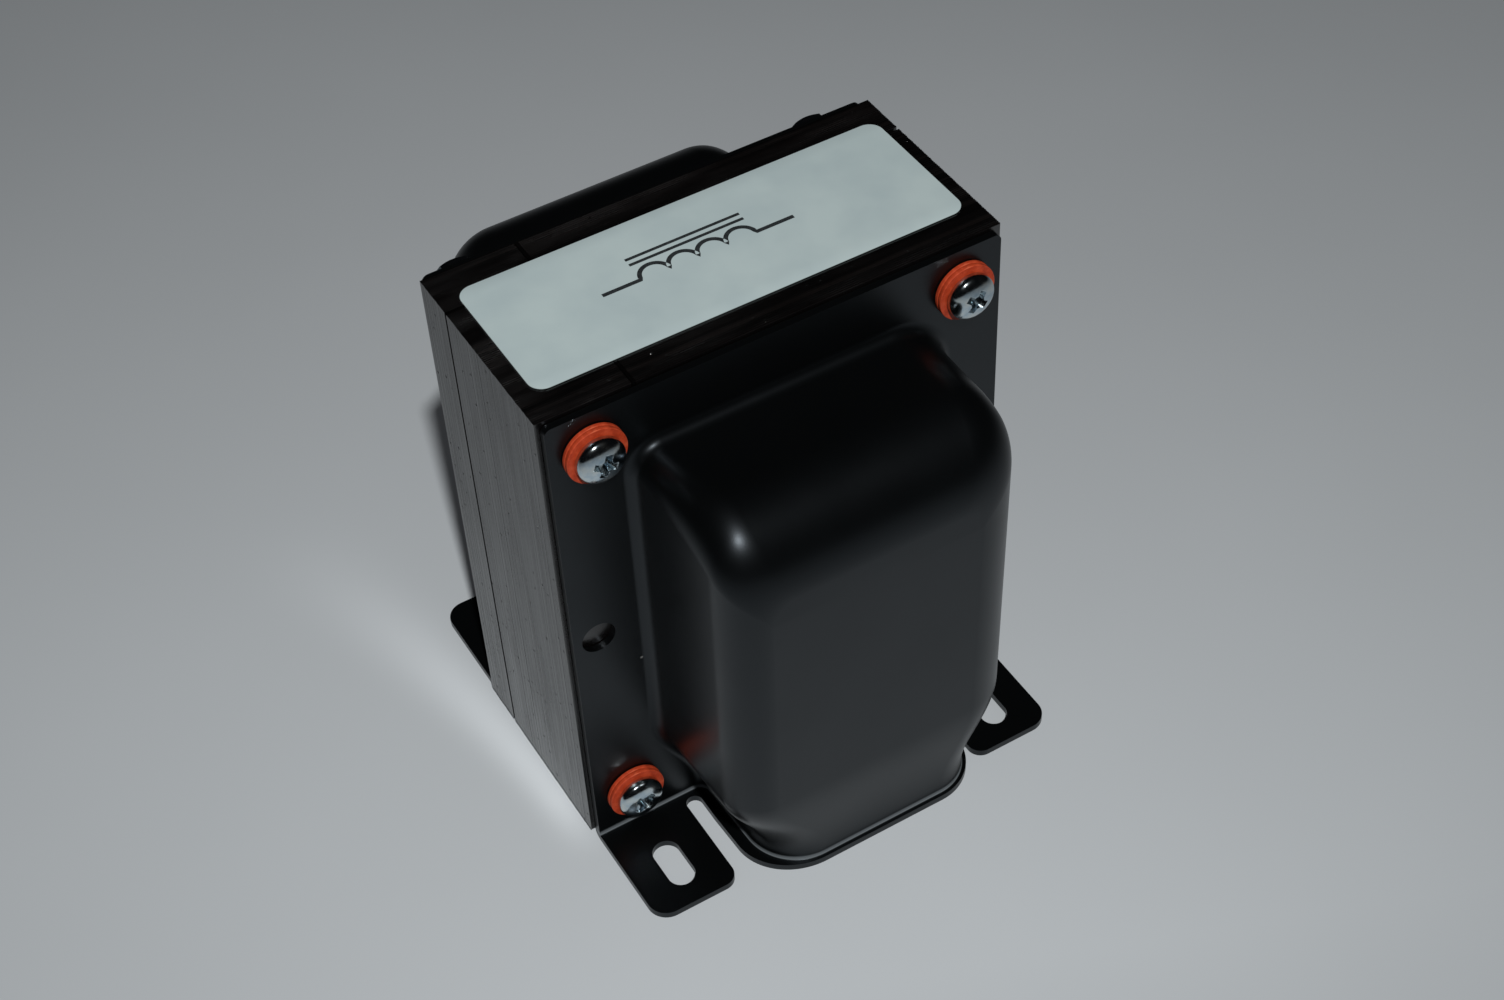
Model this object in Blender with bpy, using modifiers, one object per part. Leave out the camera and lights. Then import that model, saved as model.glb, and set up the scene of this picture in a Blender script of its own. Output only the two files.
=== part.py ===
"""Iron-core choke inductor with two drawn end bells, built piece by piece in metres, +Z up.

X runs across the front bell, Y runs from the front bell to the rear bell, and the coil is wound about X.
The origin is on the surface that the feet stand on, below the middle of the core.
"""

import math

import bmesh
import bpy

# Laminations
TONGUE = 0.0381
OUTER_LEG = 0.01905
SPINE = 0.01905
WINDOW_HEIGHT = 0.01905
WINDOW_LENGTH = 0.05715
BAR_WIDTH = 0.01905
FRONT_PACK_DEPTH = 0.0337
REAR_PACK_DEPTH = 0.01075
PACK_GAP = 0.0002
BOLT_TO_EDGE = 0.009525
BOLT_HOLE = 0.0072
CORE_LIFT = 0.0023

# Air gap of the choke
GAP_SPACER = 0.0005
GAP_SPACER_CLEARANCE = 0.00015

# Coil
FORMER_WALL = 0.0015
FORMER_CLEARANCE = 0.0003
FORMER_END_CLEARANCE = 0.0003
FORMER_CORNER = 0.0012
WINDING_MARGIN = 0.004
WINDING_CORNER = 0.011
END_TURN_SLACK = 0.003
END_TURN_CROWN = 0.006
WRAP_THICKNESS = 0.0008
WRAP_OVERLAP = 0.0015
WEDGE_THICKNESS = 0.0012
WEDGE_WIDTH = 0.030
COIL_CLEARANCE = 0.0002

# End bells
SHEET = 0.0015
SEAT_GAP = 0.0002
FLANGE_INSET = 0.00096
FLANGE_TOP_DROP = 0.0008
FLANGE_CORNER = 0.0015
POCKET_WALL_TO_BOLT = 0.0044
POCKET_TOP_TO_CORE_TOP = 0.01415
COIL_TO_POCKET = 0.00565
POCKET_DRAFT = math.radians(2)
POCKET_CORNER = 0.0122
FRONT_CORNER = 0.0050
ROOT_RADIUS = 0.0025
SIDE_NOSE_RADIUS = 0.0112
TOP_NOSE_RADIUS = 0.0165
LEFT_FOOT_NOSE_RADIUS = 0.0112
RIGHT_FOOT_NOSE_RADIUS = 0.0060
NECK_FOOT = 0.0043
NECK_HEAD = 0.0275
LEFT_NECK = 0.0115
RIGHT_NECK = 0.0069
FRONT_NECK = 0.0018
FRONT_LEAN = 0.0020
BEND_RADIUS = 0.0008
FRONT_LIP = 0.00125
LEFT_LIP = 0.0024
RIGHT_LIP = 0.0008
LIP_TRIM = 0.0002
RELIEF_START = 0.0015
FOOT_LENGTH = 0.0242
FOOT_WIDTH = 0.0186
FOOT_OUTER_CORNER = 0.0042
FOOT_INNER_CORNER = 0.0030
FOOT_SLOT_WIDTH = 0.0057
FOOT_SLOT_LENGTH = 0.0117
FOOT_SLOT_FROM_FLANGE = 0.0139
SCREW_HOLE = 0.0056
SIDE_HOLE = 0.0070
SIDE_HOLE_TO_FLANGE_EDGE = 0.0053

# Fasteners
SCREW_DIAMETER = 0.0048
SCREW_PAST_NUT = 0.0022
SCREW_TIP_CHAMFER = 0.0006
HEAD_DIAMETER = 0.0095
HEAD_HEIGHT = 0.0032
HEAD_RIM = 0.0011
HEAD_CHAMFER = 0.0002
RECESS_REACH = 0.0052
RECESS_WIDTH = 0.0012
RECESS_DEPTH = 0.0020
FIBRE_WASHER_OUTER = 0.0120
FIBRE_WASHER_INNER = 0.0052
FIBRE_WASHER_THICKNESS = 0.0008
FRONT_FIBRE_WASHERS = 2
LOCK_WASHER_OUTER = 0.0086
LOCK_WASHER_THICKNESS = 0.0012
LOCK_WASHER_SPLIT = math.radians(14)
NUT_ACROSS_FLATS = 0.0095
NUT_THICKNESS = 0.0032
NUT_CHAMFER = 0.0006
THREAD_CLEARANCE = 0.00015
SLEEVE_CLEARANCE = 0.00025

# Label place on top of the core
LABEL_LENGTH = 0.0895
LABEL_WIDTH = 0.0315
LABEL_CORNER = 0.0030
LABEL_THICKNESS = 0.0002
LABEL_GAP = 0.0001
LABEL_SHIFT = 0.0005

# How finely round shapes are divided
CIRCLE_STEPS = 24
SMALL_CIRCLE_STEPS = 16
CORNER_STEPS = 4
ROOT_STEPS = 4
NOSE_STEPS = 6
POCKET_CORNER_STEPS = 6
BEND_STEPS = 3
NECK_STEPS = 6
SIDE_STEPS = 6
CUT_MARGIN = 0.002

# Worked out from the sizes above
CORE_HEIGHT = TONGUE + 2 * WINDOW_HEIGHT + 2 * OUTER_LEG
AIR_GAP = GAP_SPACER + 2 * GAP_SPACER_CLEARANCE
CORE_WIDTH = SPINE + WINDOW_LENGTH + AIR_GAP + BAR_WIDTH
CORE_DEPTH = FRONT_PACK_DEPTH + PACK_GAP + REAR_PACK_DEPTH
CORE_MIDDLE = CORE_LIFT + CORE_HEIGHT / 2
LEG_ROOT = CORE_WIDTH / 2 - SPINE
LEG_TIP = LEG_ROOT - WINDOW_LENGTH
COIL_X = LEG_ROOT - WINDOW_LENGTH / 2
BOLT_X = CORE_WIDTH / 2 - BOLT_TO_EDGE
BOLT_Z = CORE_HEIGHT / 2 - BOLT_TO_EDGE
FLANGE_BACK = CORE_DEPTH / 2 + SEAT_GAP
FLANGE_FACE = FLANGE_BACK + SHEET
FLANGE_HALF_WIDTH = CORE_WIDTH / 2 - FLANGE_INSET
FLANGE_TOP = CORE_MIDDLE + CORE_HEIGHT / 2 - FLANGE_TOP_DROP
COIL_ROOM = WINDOW_HEIGHT - FORMER_CLEARANCE - FORMER_WALL
WINDING_BUILD = COIL_ROOM - WRAP_THICKNESS - WEDGE_THICKNESS - 4 * COIL_CLEARANCE
WINDING_FOOT = CORE_DEPTH / 2 + FORMER_CLEARANCE + FORMER_WALL + COIL_CLEARANCE
WINDING_REACH = WINDING_FOOT + WINDING_BUILD + END_TURN_SLACK
COIL_REACH = WINDING_REACH + END_TURN_CROWN + COIL_CLEARANCE + WRAP_THICKNESS
POCKET_DEPTH = COIL_REACH + COIL_TO_POCKET - FLANGE_BACK
POCKET_TOP = CORE_MIDDLE + CORE_HEIGHT / 2 - POCKET_TOP_TO_CORE_TOP
POCKET_HALF_WIDTH = BOLT_X - POCKET_WALL_TO_BOLT
FOOT_INNER = FLANGE_HALF_WIDTH - FOOT_WIDTH
FOOT_MIDDLE = FLANGE_HALF_WIDTH - FOOT_WIDTH / 2

SIDE_NECKS = {-1: LEFT_NECK, 1: RIGHT_NECK}
SIDE_LIPS = {-1: LEFT_LIP, 1: RIGHT_LIP}
FOOT_NOSE_RADII = {-1: LEFT_FOOT_NOSE_RADIUS, 1: RIGHT_FOOT_NOSE_RADIUS}

FACING_FRONT = (math.pi / 2, 0, 0)
ALONG_X = (math.pi / 2, 0, math.pi / 2)
CORNERS = {
    "upper_left": (-1, 1),
    "upper_right": (1, 1),
    "lower_left": (-1, -1),
    "lower_right": (1, -1),
}


def clear_scene():
    for item in list(bpy.data.objects):
        bpy.data.objects.remove(item, do_unlink=True)


def new_collection(name):
    made = bpy.data.collections.new(name)
    bpy.context.scene.collection.children.link(made)
    return made


def make_material(name, colour, roughness, metallic=0.0):
    made = bpy.data.materials.new(name)
    made.use_nodes = True
    shader = made.node_tree.nodes["Principled BSDF"]
    shader.inputs["Base Color"].default_value = (*colour, 1)
    shader.inputs["Roughness"].default_value = roughness
    shader.inputs["Metallic"].default_value = metallic
    made.diffuse_color = (*colour, 1)
    return made


# Flat outlines


def arc(centre, radius, start, end, steps):
    """Points on an arc, both ends included, with the angles in degrees."""
    points = []
    for step in range(steps + 1):
        angle = math.radians(start + (end - start) * step / steps)
        points.append((centre[0] + radius * math.cos(angle), centre[1] + radius * math.sin(angle)))
    return points


def circle(radius, steps=CIRCLE_STEPS, centre=(0, 0)):
    return arc(centre, radius, 0, 360, steps)[:-1]


def rectangle(width, height, centre=(0, 0)):
    x, y = width / 2, height / 2
    return [(centre[0] + sx * x, centre[1] + sy * y) for sx, sy in ((-1, -1), (1, -1), (1, 1), (-1, 1))]


def rounded_rectangle(width, height, radius, steps=CORNER_STEPS):
    x, y = width / 2 - radius, height / 2 - radius
    points = []
    for sx, sy, start in ((1, 1, 0), (-1, 1, 90), (-1, -1, 180), (1, -1, 270)):
        points += arc((sx * x, sy * y), radius, start, start + 90, steps)
    return points


def obround(width, length, centre=(0, 0), steps=8):
    reach = (length - width) / 2
    points = arc((centre[0], centre[1] + reach), width / 2, 0, 180, steps)
    return points + arc((centre[0], centre[1] - reach), width / 2, 180, 360, steps)


def crowned_rectangle(width, height, radius, crown):
    """A rounded rectangle whose two sides at +-width/2 bulge outward by the crown."""
    half = height / 2
    straight = half - radius
    points = []
    for sx, first in ((1, -1), (-1, 1)):
        corner = (sx * (width / 2 - radius), first * straight)
        start = 270 if sx > 0 else 90
        points += arc(corner, radius, start, start + 90, CORNER_STEPS)
        for step in range(1, SIDE_STEPS):
            points.append((sx * width / 2, first * straight * (1 - 2 * step / SIDE_STEPS)))
        corner = (sx * (width / 2 - radius), -first * straight)
        points += arc(corner, radius, start + 90, start + 180, CORNER_STEPS)
    return [(x + math.copysign(crown * (1 - (y / half) ** 2), x), y) for x, y in points]


# Solids from outlines and profiles


def plate(name, outlines, thickness, collection, material=None, location=(0, 0, 0), rotation=(0, 0, 0)):
    """A flat solid: the first outline is its edge and the others are holes."""
    curve = bpy.data.curves.new(name, "CURVE")
    curve.dimensions = "2D"
    curve.fill_mode = "BOTH"
    curve.extrude = thickness / 2
    for outline in outlines:
        spline = curve.splines.new("POLY")
        spline.points.add(len(outline) - 1)
        for point, (x, y) in zip(spline.points, outline):
            point.co = (x, y, 0, 1)
        spline.use_cyclic_u = True
    if material:
        curve.materials.append(material)
    made = bpy.data.objects.new(name, curve)
    made.location = location
    made.rotation_euler = rotation
    collection.objects.link(made)
    return made


def turned(name, profile, steps, collection):
    """A solid turned about Z from (radius, height) points that run down its outer side."""
    mesh = bpy.data.meshes.new(name)
    edges = [(index, index + 1) for index in range(len(profile) - 1)]
    mesh.from_pydata([(radius, 0, height) for radius, height in profile], edges, [])
    made = bpy.data.objects.new(name, mesh)
    collection.objects.link(made)
    spin = made.modifiers.new("turn", "SCREW")
    spin.steps = steps
    spin.render_steps = steps
    spin.use_merge_vertices = True
    spin.merge_threshold = 0.00001
    return made


def as_mesh(made, name):
    """Evaluates an object, welds it, removes it and returns its mesh with smooth sides."""
    bpy.context.view_layer.update()
    graph = bpy.context.evaluated_depsgraph_get()
    mesh = bpy.data.meshes.new_from_object(made.evaluated_get(graph))
    bpy.data.objects.remove(made, do_unlink=True)
    mesh.name = name
    work = bmesh.new()
    work.from_mesh(mesh)
    bmesh.ops.remove_doubles(work, verts=work.verts, dist=0.000001)
    bmesh.ops.recalc_face_normals(work, faces=work.faces)
    work.to_mesh(mesh)
    work.free()
    mesh.shade_smooth()
    mesh.set_sharp_from_angle(angle=math.radians(35))
    return mesh


def put(name, mesh, material, collection, location=(0, 0, 0), rotation=(0, 0, 0)):
    made = bpy.data.objects.new(name, mesh)
    if material and not mesh.materials:
        mesh.materials.append(material)
    made.location = location
    made.rotation_euler = rotation
    collection.objects.link(made)
    return made


def cutter_plate(name, outline, thickness, cutters, location=(0, 0, 0), rotation=(0, 0, 0)):
    """A flat cutter as a mesh object that stays out of the model."""
    curve = plate(name, [outline], thickness, cutters)
    made = bpy.data.objects.new(name, as_mesh(curve, name))
    made.location = location
    made.rotation_euler = rotation
    made.hide_render = True
    made.display_type = "WIRE"
    cutters.objects.link(made)
    return made


def cut(target, operation, cutter):
    boolean = target.modifiers.new(cutter.name, "BOOLEAN")
    boolean.operation = operation
    boolean.object = cutter
    return boolean


# End bell


def smooth_step(value):
    value = min(max(value, 0), 1)
    return value * value * (3 - 2 * value)


def neck_share(height):
    """How far the pocket has drawn in at a height: 1 at its foot, 0 above the neck."""
    return 1 - smooth_step((height - NECK_FOOT) / (NECK_HEAD - NECK_FOOT))


def pocket_section(depth, nose_radius):
    """The wall's section from flange to front face, as (inset, depth, normal inset, normal depth)."""
    section = []
    for step in range(ROOT_STEPS + 1):
        angle = (math.pi / 2 - POCKET_DRAFT) * step / ROOT_STEPS
        across, along = math.sin(angle), math.cos(angle)
        section.append((ROOT_RADIUS * (across - 1), ROOT_RADIUS * (1 - along), -across, along))
    wall_foot = section[-1]
    wall_end = depth - nose_radius * (1 - math.sin(POCKET_DRAFT))
    drift = (wall_end - wall_foot[1]) * math.tan(POCKET_DRAFT)
    nose_inset = wall_foot[0] + drift + nose_radius * math.cos(POCKET_DRAFT)
    for step in range(NOSE_STEPS + 1):
        angle = POCKET_DRAFT + (math.pi / 2 - POCKET_DRAFT) * step / NOSE_STEPS
        across, along = math.cos(angle), math.sin(angle)
        inset = nose_inset - nose_radius * across
        section.append((inset, depth - nose_radius * (1 - along), -across, along))
    return section


def front_setback(height):
    """How far the front face lies behind its foremost line at a height, by its lean and its neck."""
    lean = (POCKET_TOP - TOP_NOSE_RADIUS - height) / (POCKET_TOP - TOP_NOSE_RADIUS - NECK_FOOT)
    return FRONT_LEAN * min(max(lean, 0), 1) + FRONT_NECK * neck_share(height)


def foot_half_width(side):
    """From the middle to the pocket's side wall at its foot."""
    return POCKET_HALF_WIDTH - SIDE_NECKS[side]


def corner_radius(inset):
    """The top corner's radius where the skin lies an inset within the wall: smaller towards the front."""
    if inset < 0:
        return POCKET_CORNER - inset
    return POCKET_CORNER + (FRONT_CORNER - POCKET_CORNER) * inset / TOP_NOSE_RADIUS


def pocket_rows(side):
    """Rows up to the top corner, as (height, flare to the side, flare to the front), first the lip."""
    rows = [(SHEET, SIDE_LIPS[side] + LIP_TRIM, FRONT_LIP)]
    for step in range(BEND_STEPS + 1):
        angle = math.pi / 2 * step / BEND_STEPS
        flare = BEND_RADIUS * (1 - math.sin(angle))
        rows.append((SHEET + BEND_RADIUS * (1 - math.cos(angle)), flare, flare))
    for step in range(NECK_STEPS + 1):
        rows.append((NECK_FOOT + (NECK_HEAD - NECK_FOOT) * step / NECK_STEPS, 0, 0))
    return rows


def pocket_rings(side):
    """Half of the pocket's outer skin, side -1 or 1: a list of (x, y, z) for each row, flange to front."""
    rings = []
    for height, side_flare, front_flare in pocket_rows(side):
        share = neck_share(height)
        half = POCKET_HALF_WIDTH - SIDE_NECKS[side] * share
        nose = SIDE_NOSE_RADIUS + (FOOT_NOSE_RADII[side] - SIDE_NOSE_RADIUS) * share
        ring = []
        for inset, depth, outward, forward in pocket_section(POCKET_DEPTH - front_setback(height), nose):
            x = side * (half - inset - outward * side_flare)
            ring.append((x, -(FLANGE_FACE + depth + forward * front_flare), height))
        rings.append(ring)
    for step in range(POCKET_CORNER_STEPS + 1):
        angle = math.pi / 2 * step / POCKET_CORNER_STEPS
        turn = smooth_step(step / POCKET_CORNER_STEPS)
        section = pocket_section(POCKET_DEPTH, SIDE_NOSE_RADIUS + (TOP_NOSE_RADIUS - SIDE_NOSE_RADIUS) * turn)
        ring = []
        for inset, depth, _, _ in section:
            radius = corner_radius(inset)
            x = side * (POCKET_HALF_WIDTH - inset - radius + radius * math.cos(angle))
            ring.append((x, -(FLANGE_FACE + depth), POCKET_TOP - inset - radius + radius * math.sin(angle)))
        rings.append(ring)
    rings.append([(0, -(FLANGE_FACE + depth), POCKET_TOP - inset) for inset, depth, _, _ in section])
    return rings


def relief_width(side):
    """The gap between a foot and the lip of the pocket beside it."""
    return FOOT_INNER - (foot_half_width(side) + SIDE_LIPS[side])


def add_half_bell(work, side):
    """Half of the bell's outer skin, open at x = 0, with the foot still joined to the lip."""
    rings = [[work.verts.new(point) for point in ring] for ring in pocket_rings(side)]
    for lower, upper in zip(rings, rings[1:]):
        for column in range(len(lower) - 1):
            work.faces.new((lower[column], upper[column], upper[column + 1], lower[column + 1]))

    side_rows = len(pocket_rows(side)) + 1
    middle = [work.verts.new((0, ring[-1].co.y, ring[-1].co.z)) for ring in rings[:side_rows]]
    for row in range(side_rows - 1):
        work.faces.new((rings[row][-1], rings[row + 1][-1], middle[row + 1], middle[row]))
    crown = [ring[-1] for ring in rings[side_rows - 1 :]]
    work.faces.new(crown + [middle[-1]])

    bend_rows = range(1, BEND_STEPS + 2)
    outer = {}
    for row in bend_rows:
        root = rings[row][0].co
        outer[row] = work.verts.new((side * FLANGE_HALF_WIDTH, root.y, root.z))
    for row in list(bend_rows)[:-1]:
        work.faces.new((outer[row], outer[row + 1], rings[row + 1][0], rings[row][0]))

    corner = (FLANGE_HALF_WIDTH - FLANGE_CORNER, FLANGE_TOP - FLANGE_CORNER)
    flange = [outer[BEND_STEPS + 1]]
    for x, z in arc(corner, FLANGE_CORNER, 0, 90, CORNER_STEPS):
        flange.append(work.verts.new((side * x, -FLANGE_FACE, z)))
    flange.append(work.verts.new((0, -FLANGE_FACE, FLANGE_TOP)))
    flange += [ring[0] for ring in reversed(rings[BEND_STEPS + 1 :])]
    work.faces.new(flange)

    tip = FLANGE_FACE + FOOT_LENGTH
    relief_middle = FOOT_INNER - relief_width(side) / 2
    outline = [(relief_middle, -rings[0][ROOT_STEPS + 1].co.y), (relief_middle, tip - FOOT_INNER_CORNER)]
    inside = (FOOT_INNER + FOOT_INNER_CORNER, tip - FOOT_INNER_CORNER)
    outline += arc(inside, FOOT_INNER_CORNER, 180, 90, CORNER_STEPS)
    outside = (FLANGE_HALF_WIDTH - FOOT_OUTER_CORNER, tip - FOOT_OUTER_CORNER)
    outline += arc(outside, FOOT_OUTER_CORNER, 90, 0, CORNER_STEPS)
    foot = [outer[1], rings[1][0]] + rings[0][: ROOT_STEPS + 2]
    foot += [work.verts.new((side * x, -y, SHEET)) for x, y in outline]
    work.faces.new(foot)


def bell_skin():
    """Both halves of the outer skin as one mesh whose faces look away from the core."""
    work = bmesh.new()
    for side in (-1, 1):
        add_half_bell(work, side)
    bmesh.ops.remove_doubles(work, verts=work.verts, dist=0.000001)
    bmesh.ops.recalc_face_normals(work, faces=work.faces)
    if sum(face.normal.y * face.calc_area() for face in work.faces) > 0:
        bmesh.ops.reverse_faces(work, faces=work.faces)
    mesh = bpy.data.meshes.new("bell_skin")
    work.to_mesh(mesh)
    work.free()
    return mesh


def bell_cutters(cutters):
    """Screw holes, side holes, foot slots and the relief gaps between the feet and the lip."""
    made = []
    through = SHEET + 2 * CUT_MARGIN
    flange_middle = -(FLANGE_BACK + SHEET / 2)
    for corner, (sx, sz) in CORNERS.items():
        place = (sx * BOLT_X, flange_middle, CORE_MIDDLE + sz * BOLT_Z)
        hole = circle(SCREW_HOLE / 2)
        made.append(cutter_plate("screw_hole_" + corner, hole, through, cutters, place, FACING_FRONT))
    for side, sx in (("left", -1), ("right", 1)):
        place = (sx * (FLANGE_HALF_WIDTH - SIDE_HOLE_TO_FLANGE_EDGE), flange_middle, CORE_MIDDLE)
        hole = circle(SIDE_HOLE / 2)
        made.append(cutter_plate("side_hole_" + side, hole, through, cutters, place, FACING_FRONT))
        place = (sx * FOOT_MIDDLE, -(FLANGE_FACE + FOOT_SLOT_FROM_FLANGE), SHEET / 2)
        slot = obround(FOOT_SLOT_WIDTH, FOOT_SLOT_LENGTH)
        made.append(cutter_plate("foot_slot_" + side, slot, through, cutters, place))
        width = relief_width(sx)
        length = FOOT_LENGTH + CUT_MARGIN - RELIEF_START + width / 2
        relief = obround(width, length)
        place = (sx * (FOOT_INNER - width / 2), -(FLANGE_FACE + RELIEF_START + length / 2), SHEET / 2)
        made.append(cutter_plate("relief_gap_" + side, relief, through, cutters, place))
    return made


def build_bells(parts, cutters, paint):
    bell = put("bell", bell_skin(), paint, cutters)
    sheet = bell.modifiers.new("sheet", "SOLIDIFY")
    sheet.thickness = SHEET
    sheet.offset = -1
    sheet.use_even_offset = True
    for cutter in bell_cutters(cutters):
        cut(bell, "DIFFERENCE", cutter)
    mesh = as_mesh(bell, "end_bell")
    put("front_bell", mesh, paint, parts)
    put("rear_bell", mesh, paint, parts, rotation=(0, 0, math.pi))


# Core


def e_outline():
    right, outside = CORE_WIDTH / 2, CORE_HEIGHT / 2
    window, tongue = TONGUE / 2 + WINDOW_HEIGHT, TONGUE / 2
    lower = [(right, -outside), (LEG_TIP, -outside), (LEG_TIP, -window), (LEG_ROOT, -window)]
    lower += [(LEG_ROOT, -tongue), (LEG_TIP, -tongue)]
    return lower + [(x, -z) for x, z in reversed(lower)]


def build_core(parts, steel):
    packs = {
        "front": (FRONT_PACK_DEPTH, -CORE_DEPTH / 2 + FRONT_PACK_DEPTH / 2),
        "rear": (REAR_PACK_DEPTH, CORE_DEPTH / 2 - REAR_PACK_DEPTH / 2),
    }
    bar = rectangle(BAR_WIDTH, CORE_HEIGHT, (-CORE_WIDTH / 2 + BAR_WIDTH / 2, 0))
    for pack, (depth, y) in packs.items():
        for kind, outline, side in (("e", e_outline(), 1), ("i", bar, -1)):
            holes = []
            for sz in (-1, 1):
                holes.append(circle(BOLT_HOLE / 2, SMALL_CIRCLE_STEPS, (side * BOLT_X, sz * BOLT_Z)))
            name = f"{kind}_laminations_{pack}"
            plate(name, [outline] + holes, depth, parts, steel, (0, y, CORE_MIDDLE), FACING_FRONT)


def build_gap_spacer(parts, paper):
    outline = rectangle(GAP_SPACER, CORE_HEIGHT)
    place = (LEG_TIP - AIR_GAP / 2, 0, CORE_MIDDLE)
    plate("gap_spacer", [outline], CORE_DEPTH, parts, paper, place, FACING_FRONT)


# Coil


def build_coil(parts, paper, copper, tape, wood):
    place = (COIL_X, 0, CORE_MIDDLE)
    tube_inner = (CORE_DEPTH + 2 * FORMER_CLEARANCE, TONGUE + 2 * FORMER_CLEARANCE)
    tube_outer = (tube_inner[0] + 2 * FORMER_WALL, tube_inner[1] + 2 * FORMER_WALL)
    tube = [
        rounded_rectangle(*tube_outer, FORMER_CORNER + FORMER_WALL),
        rectangle(*tube_inner),
    ]
    tube_length = WINDOW_LENGTH - 2 * FORMER_END_CLEARANCE
    plate("coil_former", tube, tube_length, parts, paper, place, ALONG_X)

    winding_inner = (tube_outer[0] + 2 * COIL_CLEARANCE, tube_outer[1] + 2 * COIL_CLEARANCE)
    winding_outer = (2 * WINDING_REACH, winding_inner[1] + 2 * WINDING_BUILD)
    winding = [
        crowned_rectangle(*winding_outer, WINDING_CORNER, END_TURN_CROWN),
        rounded_rectangle(*winding_inner, FORMER_CORNER + FORMER_WALL + COIL_CLEARANCE),
    ]
    winding_length = WINDOW_LENGTH - 2 * WINDING_MARGIN
    plate("winding", winding, winding_length, parts, copper, place, ALONG_X)

    grow = COIL_CLEARANCE
    wrap_inner = (winding_outer[0] + 2 * grow, winding_outer[1] + 2 * grow)
    grow += WRAP_THICKNESS
    wrap_outer = (winding_outer[0] + 2 * grow, winding_outer[1] + 2 * grow)
    wrap = [
        crowned_rectangle(*wrap_outer, WINDING_CORNER + grow, END_TURN_CROWN),
        crowned_rectangle(*wrap_inner, WINDING_CORNER + COIL_CLEARANCE, END_TURN_CROWN),
    ]
    plate("coil_wrap", wrap, winding_length + 2 * WRAP_OVERLAP, parts, tape, place, ALONG_X)

    wedge_middle = wrap_outer[1] / 2 + COIL_CLEARANCE + WEDGE_THICKNESS / 2
    for side, sz in (("upper", 1), ("lower", -1)):
        outline = rounded_rectangle(tube_length, WEDGE_WIDTH, WEDGE_THICKNESS, 2)
        spot = (COIL_X, 0, CORE_MIDDLE + sz * wedge_middle)
        plate("coil_wedge_" + side, [outline], WEDGE_THICKNESS, parts, wood, spot)


# Fasteners


def screw_length():
    """From under the head to the tip."""
    front = FRONT_FIBRE_WASHERS * (FIBRE_WASHER_THICKNESS + SEAT_GAP) + SEAT_GAP
    rear = FIBRE_WASHER_THICKNESS + LOCK_WASHER_THICKNESS + NUT_THICKNESS + 3 * SEAT_GAP
    return front + 2 * FLANGE_FACE + rear + SCREW_PAST_NUT


def recess_wing(name, cutters, spin):
    """One wing of the cross recess, narrower at the bottom."""
    mesh = bpy.data.meshes.new(name)
    work = bmesh.new()
    bmesh.ops.create_cube(work, size=1)
    for vert in work.verts:
        low = vert.co.z < 0
        vert.co.x *= RECESS_REACH * (0.45 if low else 1.1)
        vert.co.y *= RECESS_WIDTH * (0.75 if low else 1.05)
        vert.co.z = HEAD_HEIGHT - RECESS_DEPTH if low else HEAD_HEIGHT + CUT_MARGIN
    work.to_mesh(mesh)
    work.free()
    made = bpy.data.objects.new(name, mesh)
    made.rotation_euler = (0, 0, spin)
    made.hide_render = True
    made.display_type = "WIRE"
    cutters.objects.link(made)
    return made


def screw_mesh(cutters):
    """A cross-recessed pan head screw, head up, with its seat at z = 0."""
    head, shank = HEAD_DIAMETER / 2, SCREW_DIAMETER / 2
    profile = [(0, HEAD_HEIGHT)]
    for x, z in arc((0, 0), 1, 75, 15, CORNER_STEPS + 1):
        profile.append((head * x, HEAD_RIM + (HEAD_HEIGHT - HEAD_RIM) * z))
    profile += [(head, HEAD_RIM), (head, HEAD_CHAMFER), (head - HEAD_CHAMFER, 0), (shank, 0)]
    tip = -screw_length()
    profile += [(shank, tip + SCREW_TIP_CHAMFER), (shank - SCREW_TIP_CHAMFER, tip), (0, tip)]
    screw = turned("screw", profile, CIRCLE_STEPS, cutters)
    for number, spin in enumerate((0, math.pi / 2)):
        cut(screw, "DIFFERENCE", recess_wing(f"recess_wing_{number}", cutters, spin))
    return as_mesh(screw, "screw")


def nut_mesh(cutters):
    """A hexagon nut with both outer edges chamfered round."""
    corner = NUT_ACROSS_FLATS / math.sqrt(3)
    bore = SCREW_DIAMETER / 2 + THREAD_CLEARANCE
    hexagon = arc((0, 0), corner, 0, 360, 6)[:-1]
    blank = plate("nut_blank", [hexagon, circle(bore, SMALL_CIRCLE_STEPS)], NUT_THICKNESS, cutters)
    nut = put("nut_body", as_mesh(blank, "nut_body"), None, cutters)
    half = NUT_THICKNESS / 2
    rim = corner + NUT_CHAMFER / 4
    slope = NUT_CHAMFER / (corner - NUT_ACROSS_FLATS / 2)
    drop = slope * (rim - NUT_ACROSS_FLATS / 2)
    profile = [(0, half), (NUT_ACROSS_FLATS / 2, half), (rim, half - drop)]
    profile += [(rim, drop - half), (NUT_ACROSS_FLATS / 2, -half), (0, -half)]
    chamfer = turned("nut_chamfer", profile, CIRCLE_STEPS, cutters)
    chamfer.hide_render = True
    chamfer.display_type = "WIRE"
    cut(nut, "INTERSECT", chamfer)
    return as_mesh(nut, "nut")


def lock_washer_outline():
    split = math.degrees(LOCK_WASHER_SPLIT) / 2
    inner = SCREW_DIAMETER / 2 + THREAD_CLEARANCE
    outline = arc((0, 0), LOCK_WASHER_OUTER / 2, split, 360 - split, CIRCLE_STEPS)
    return outline + arc((0, 0), inner, 360 - split, split, CIRCLE_STEPS)


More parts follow.
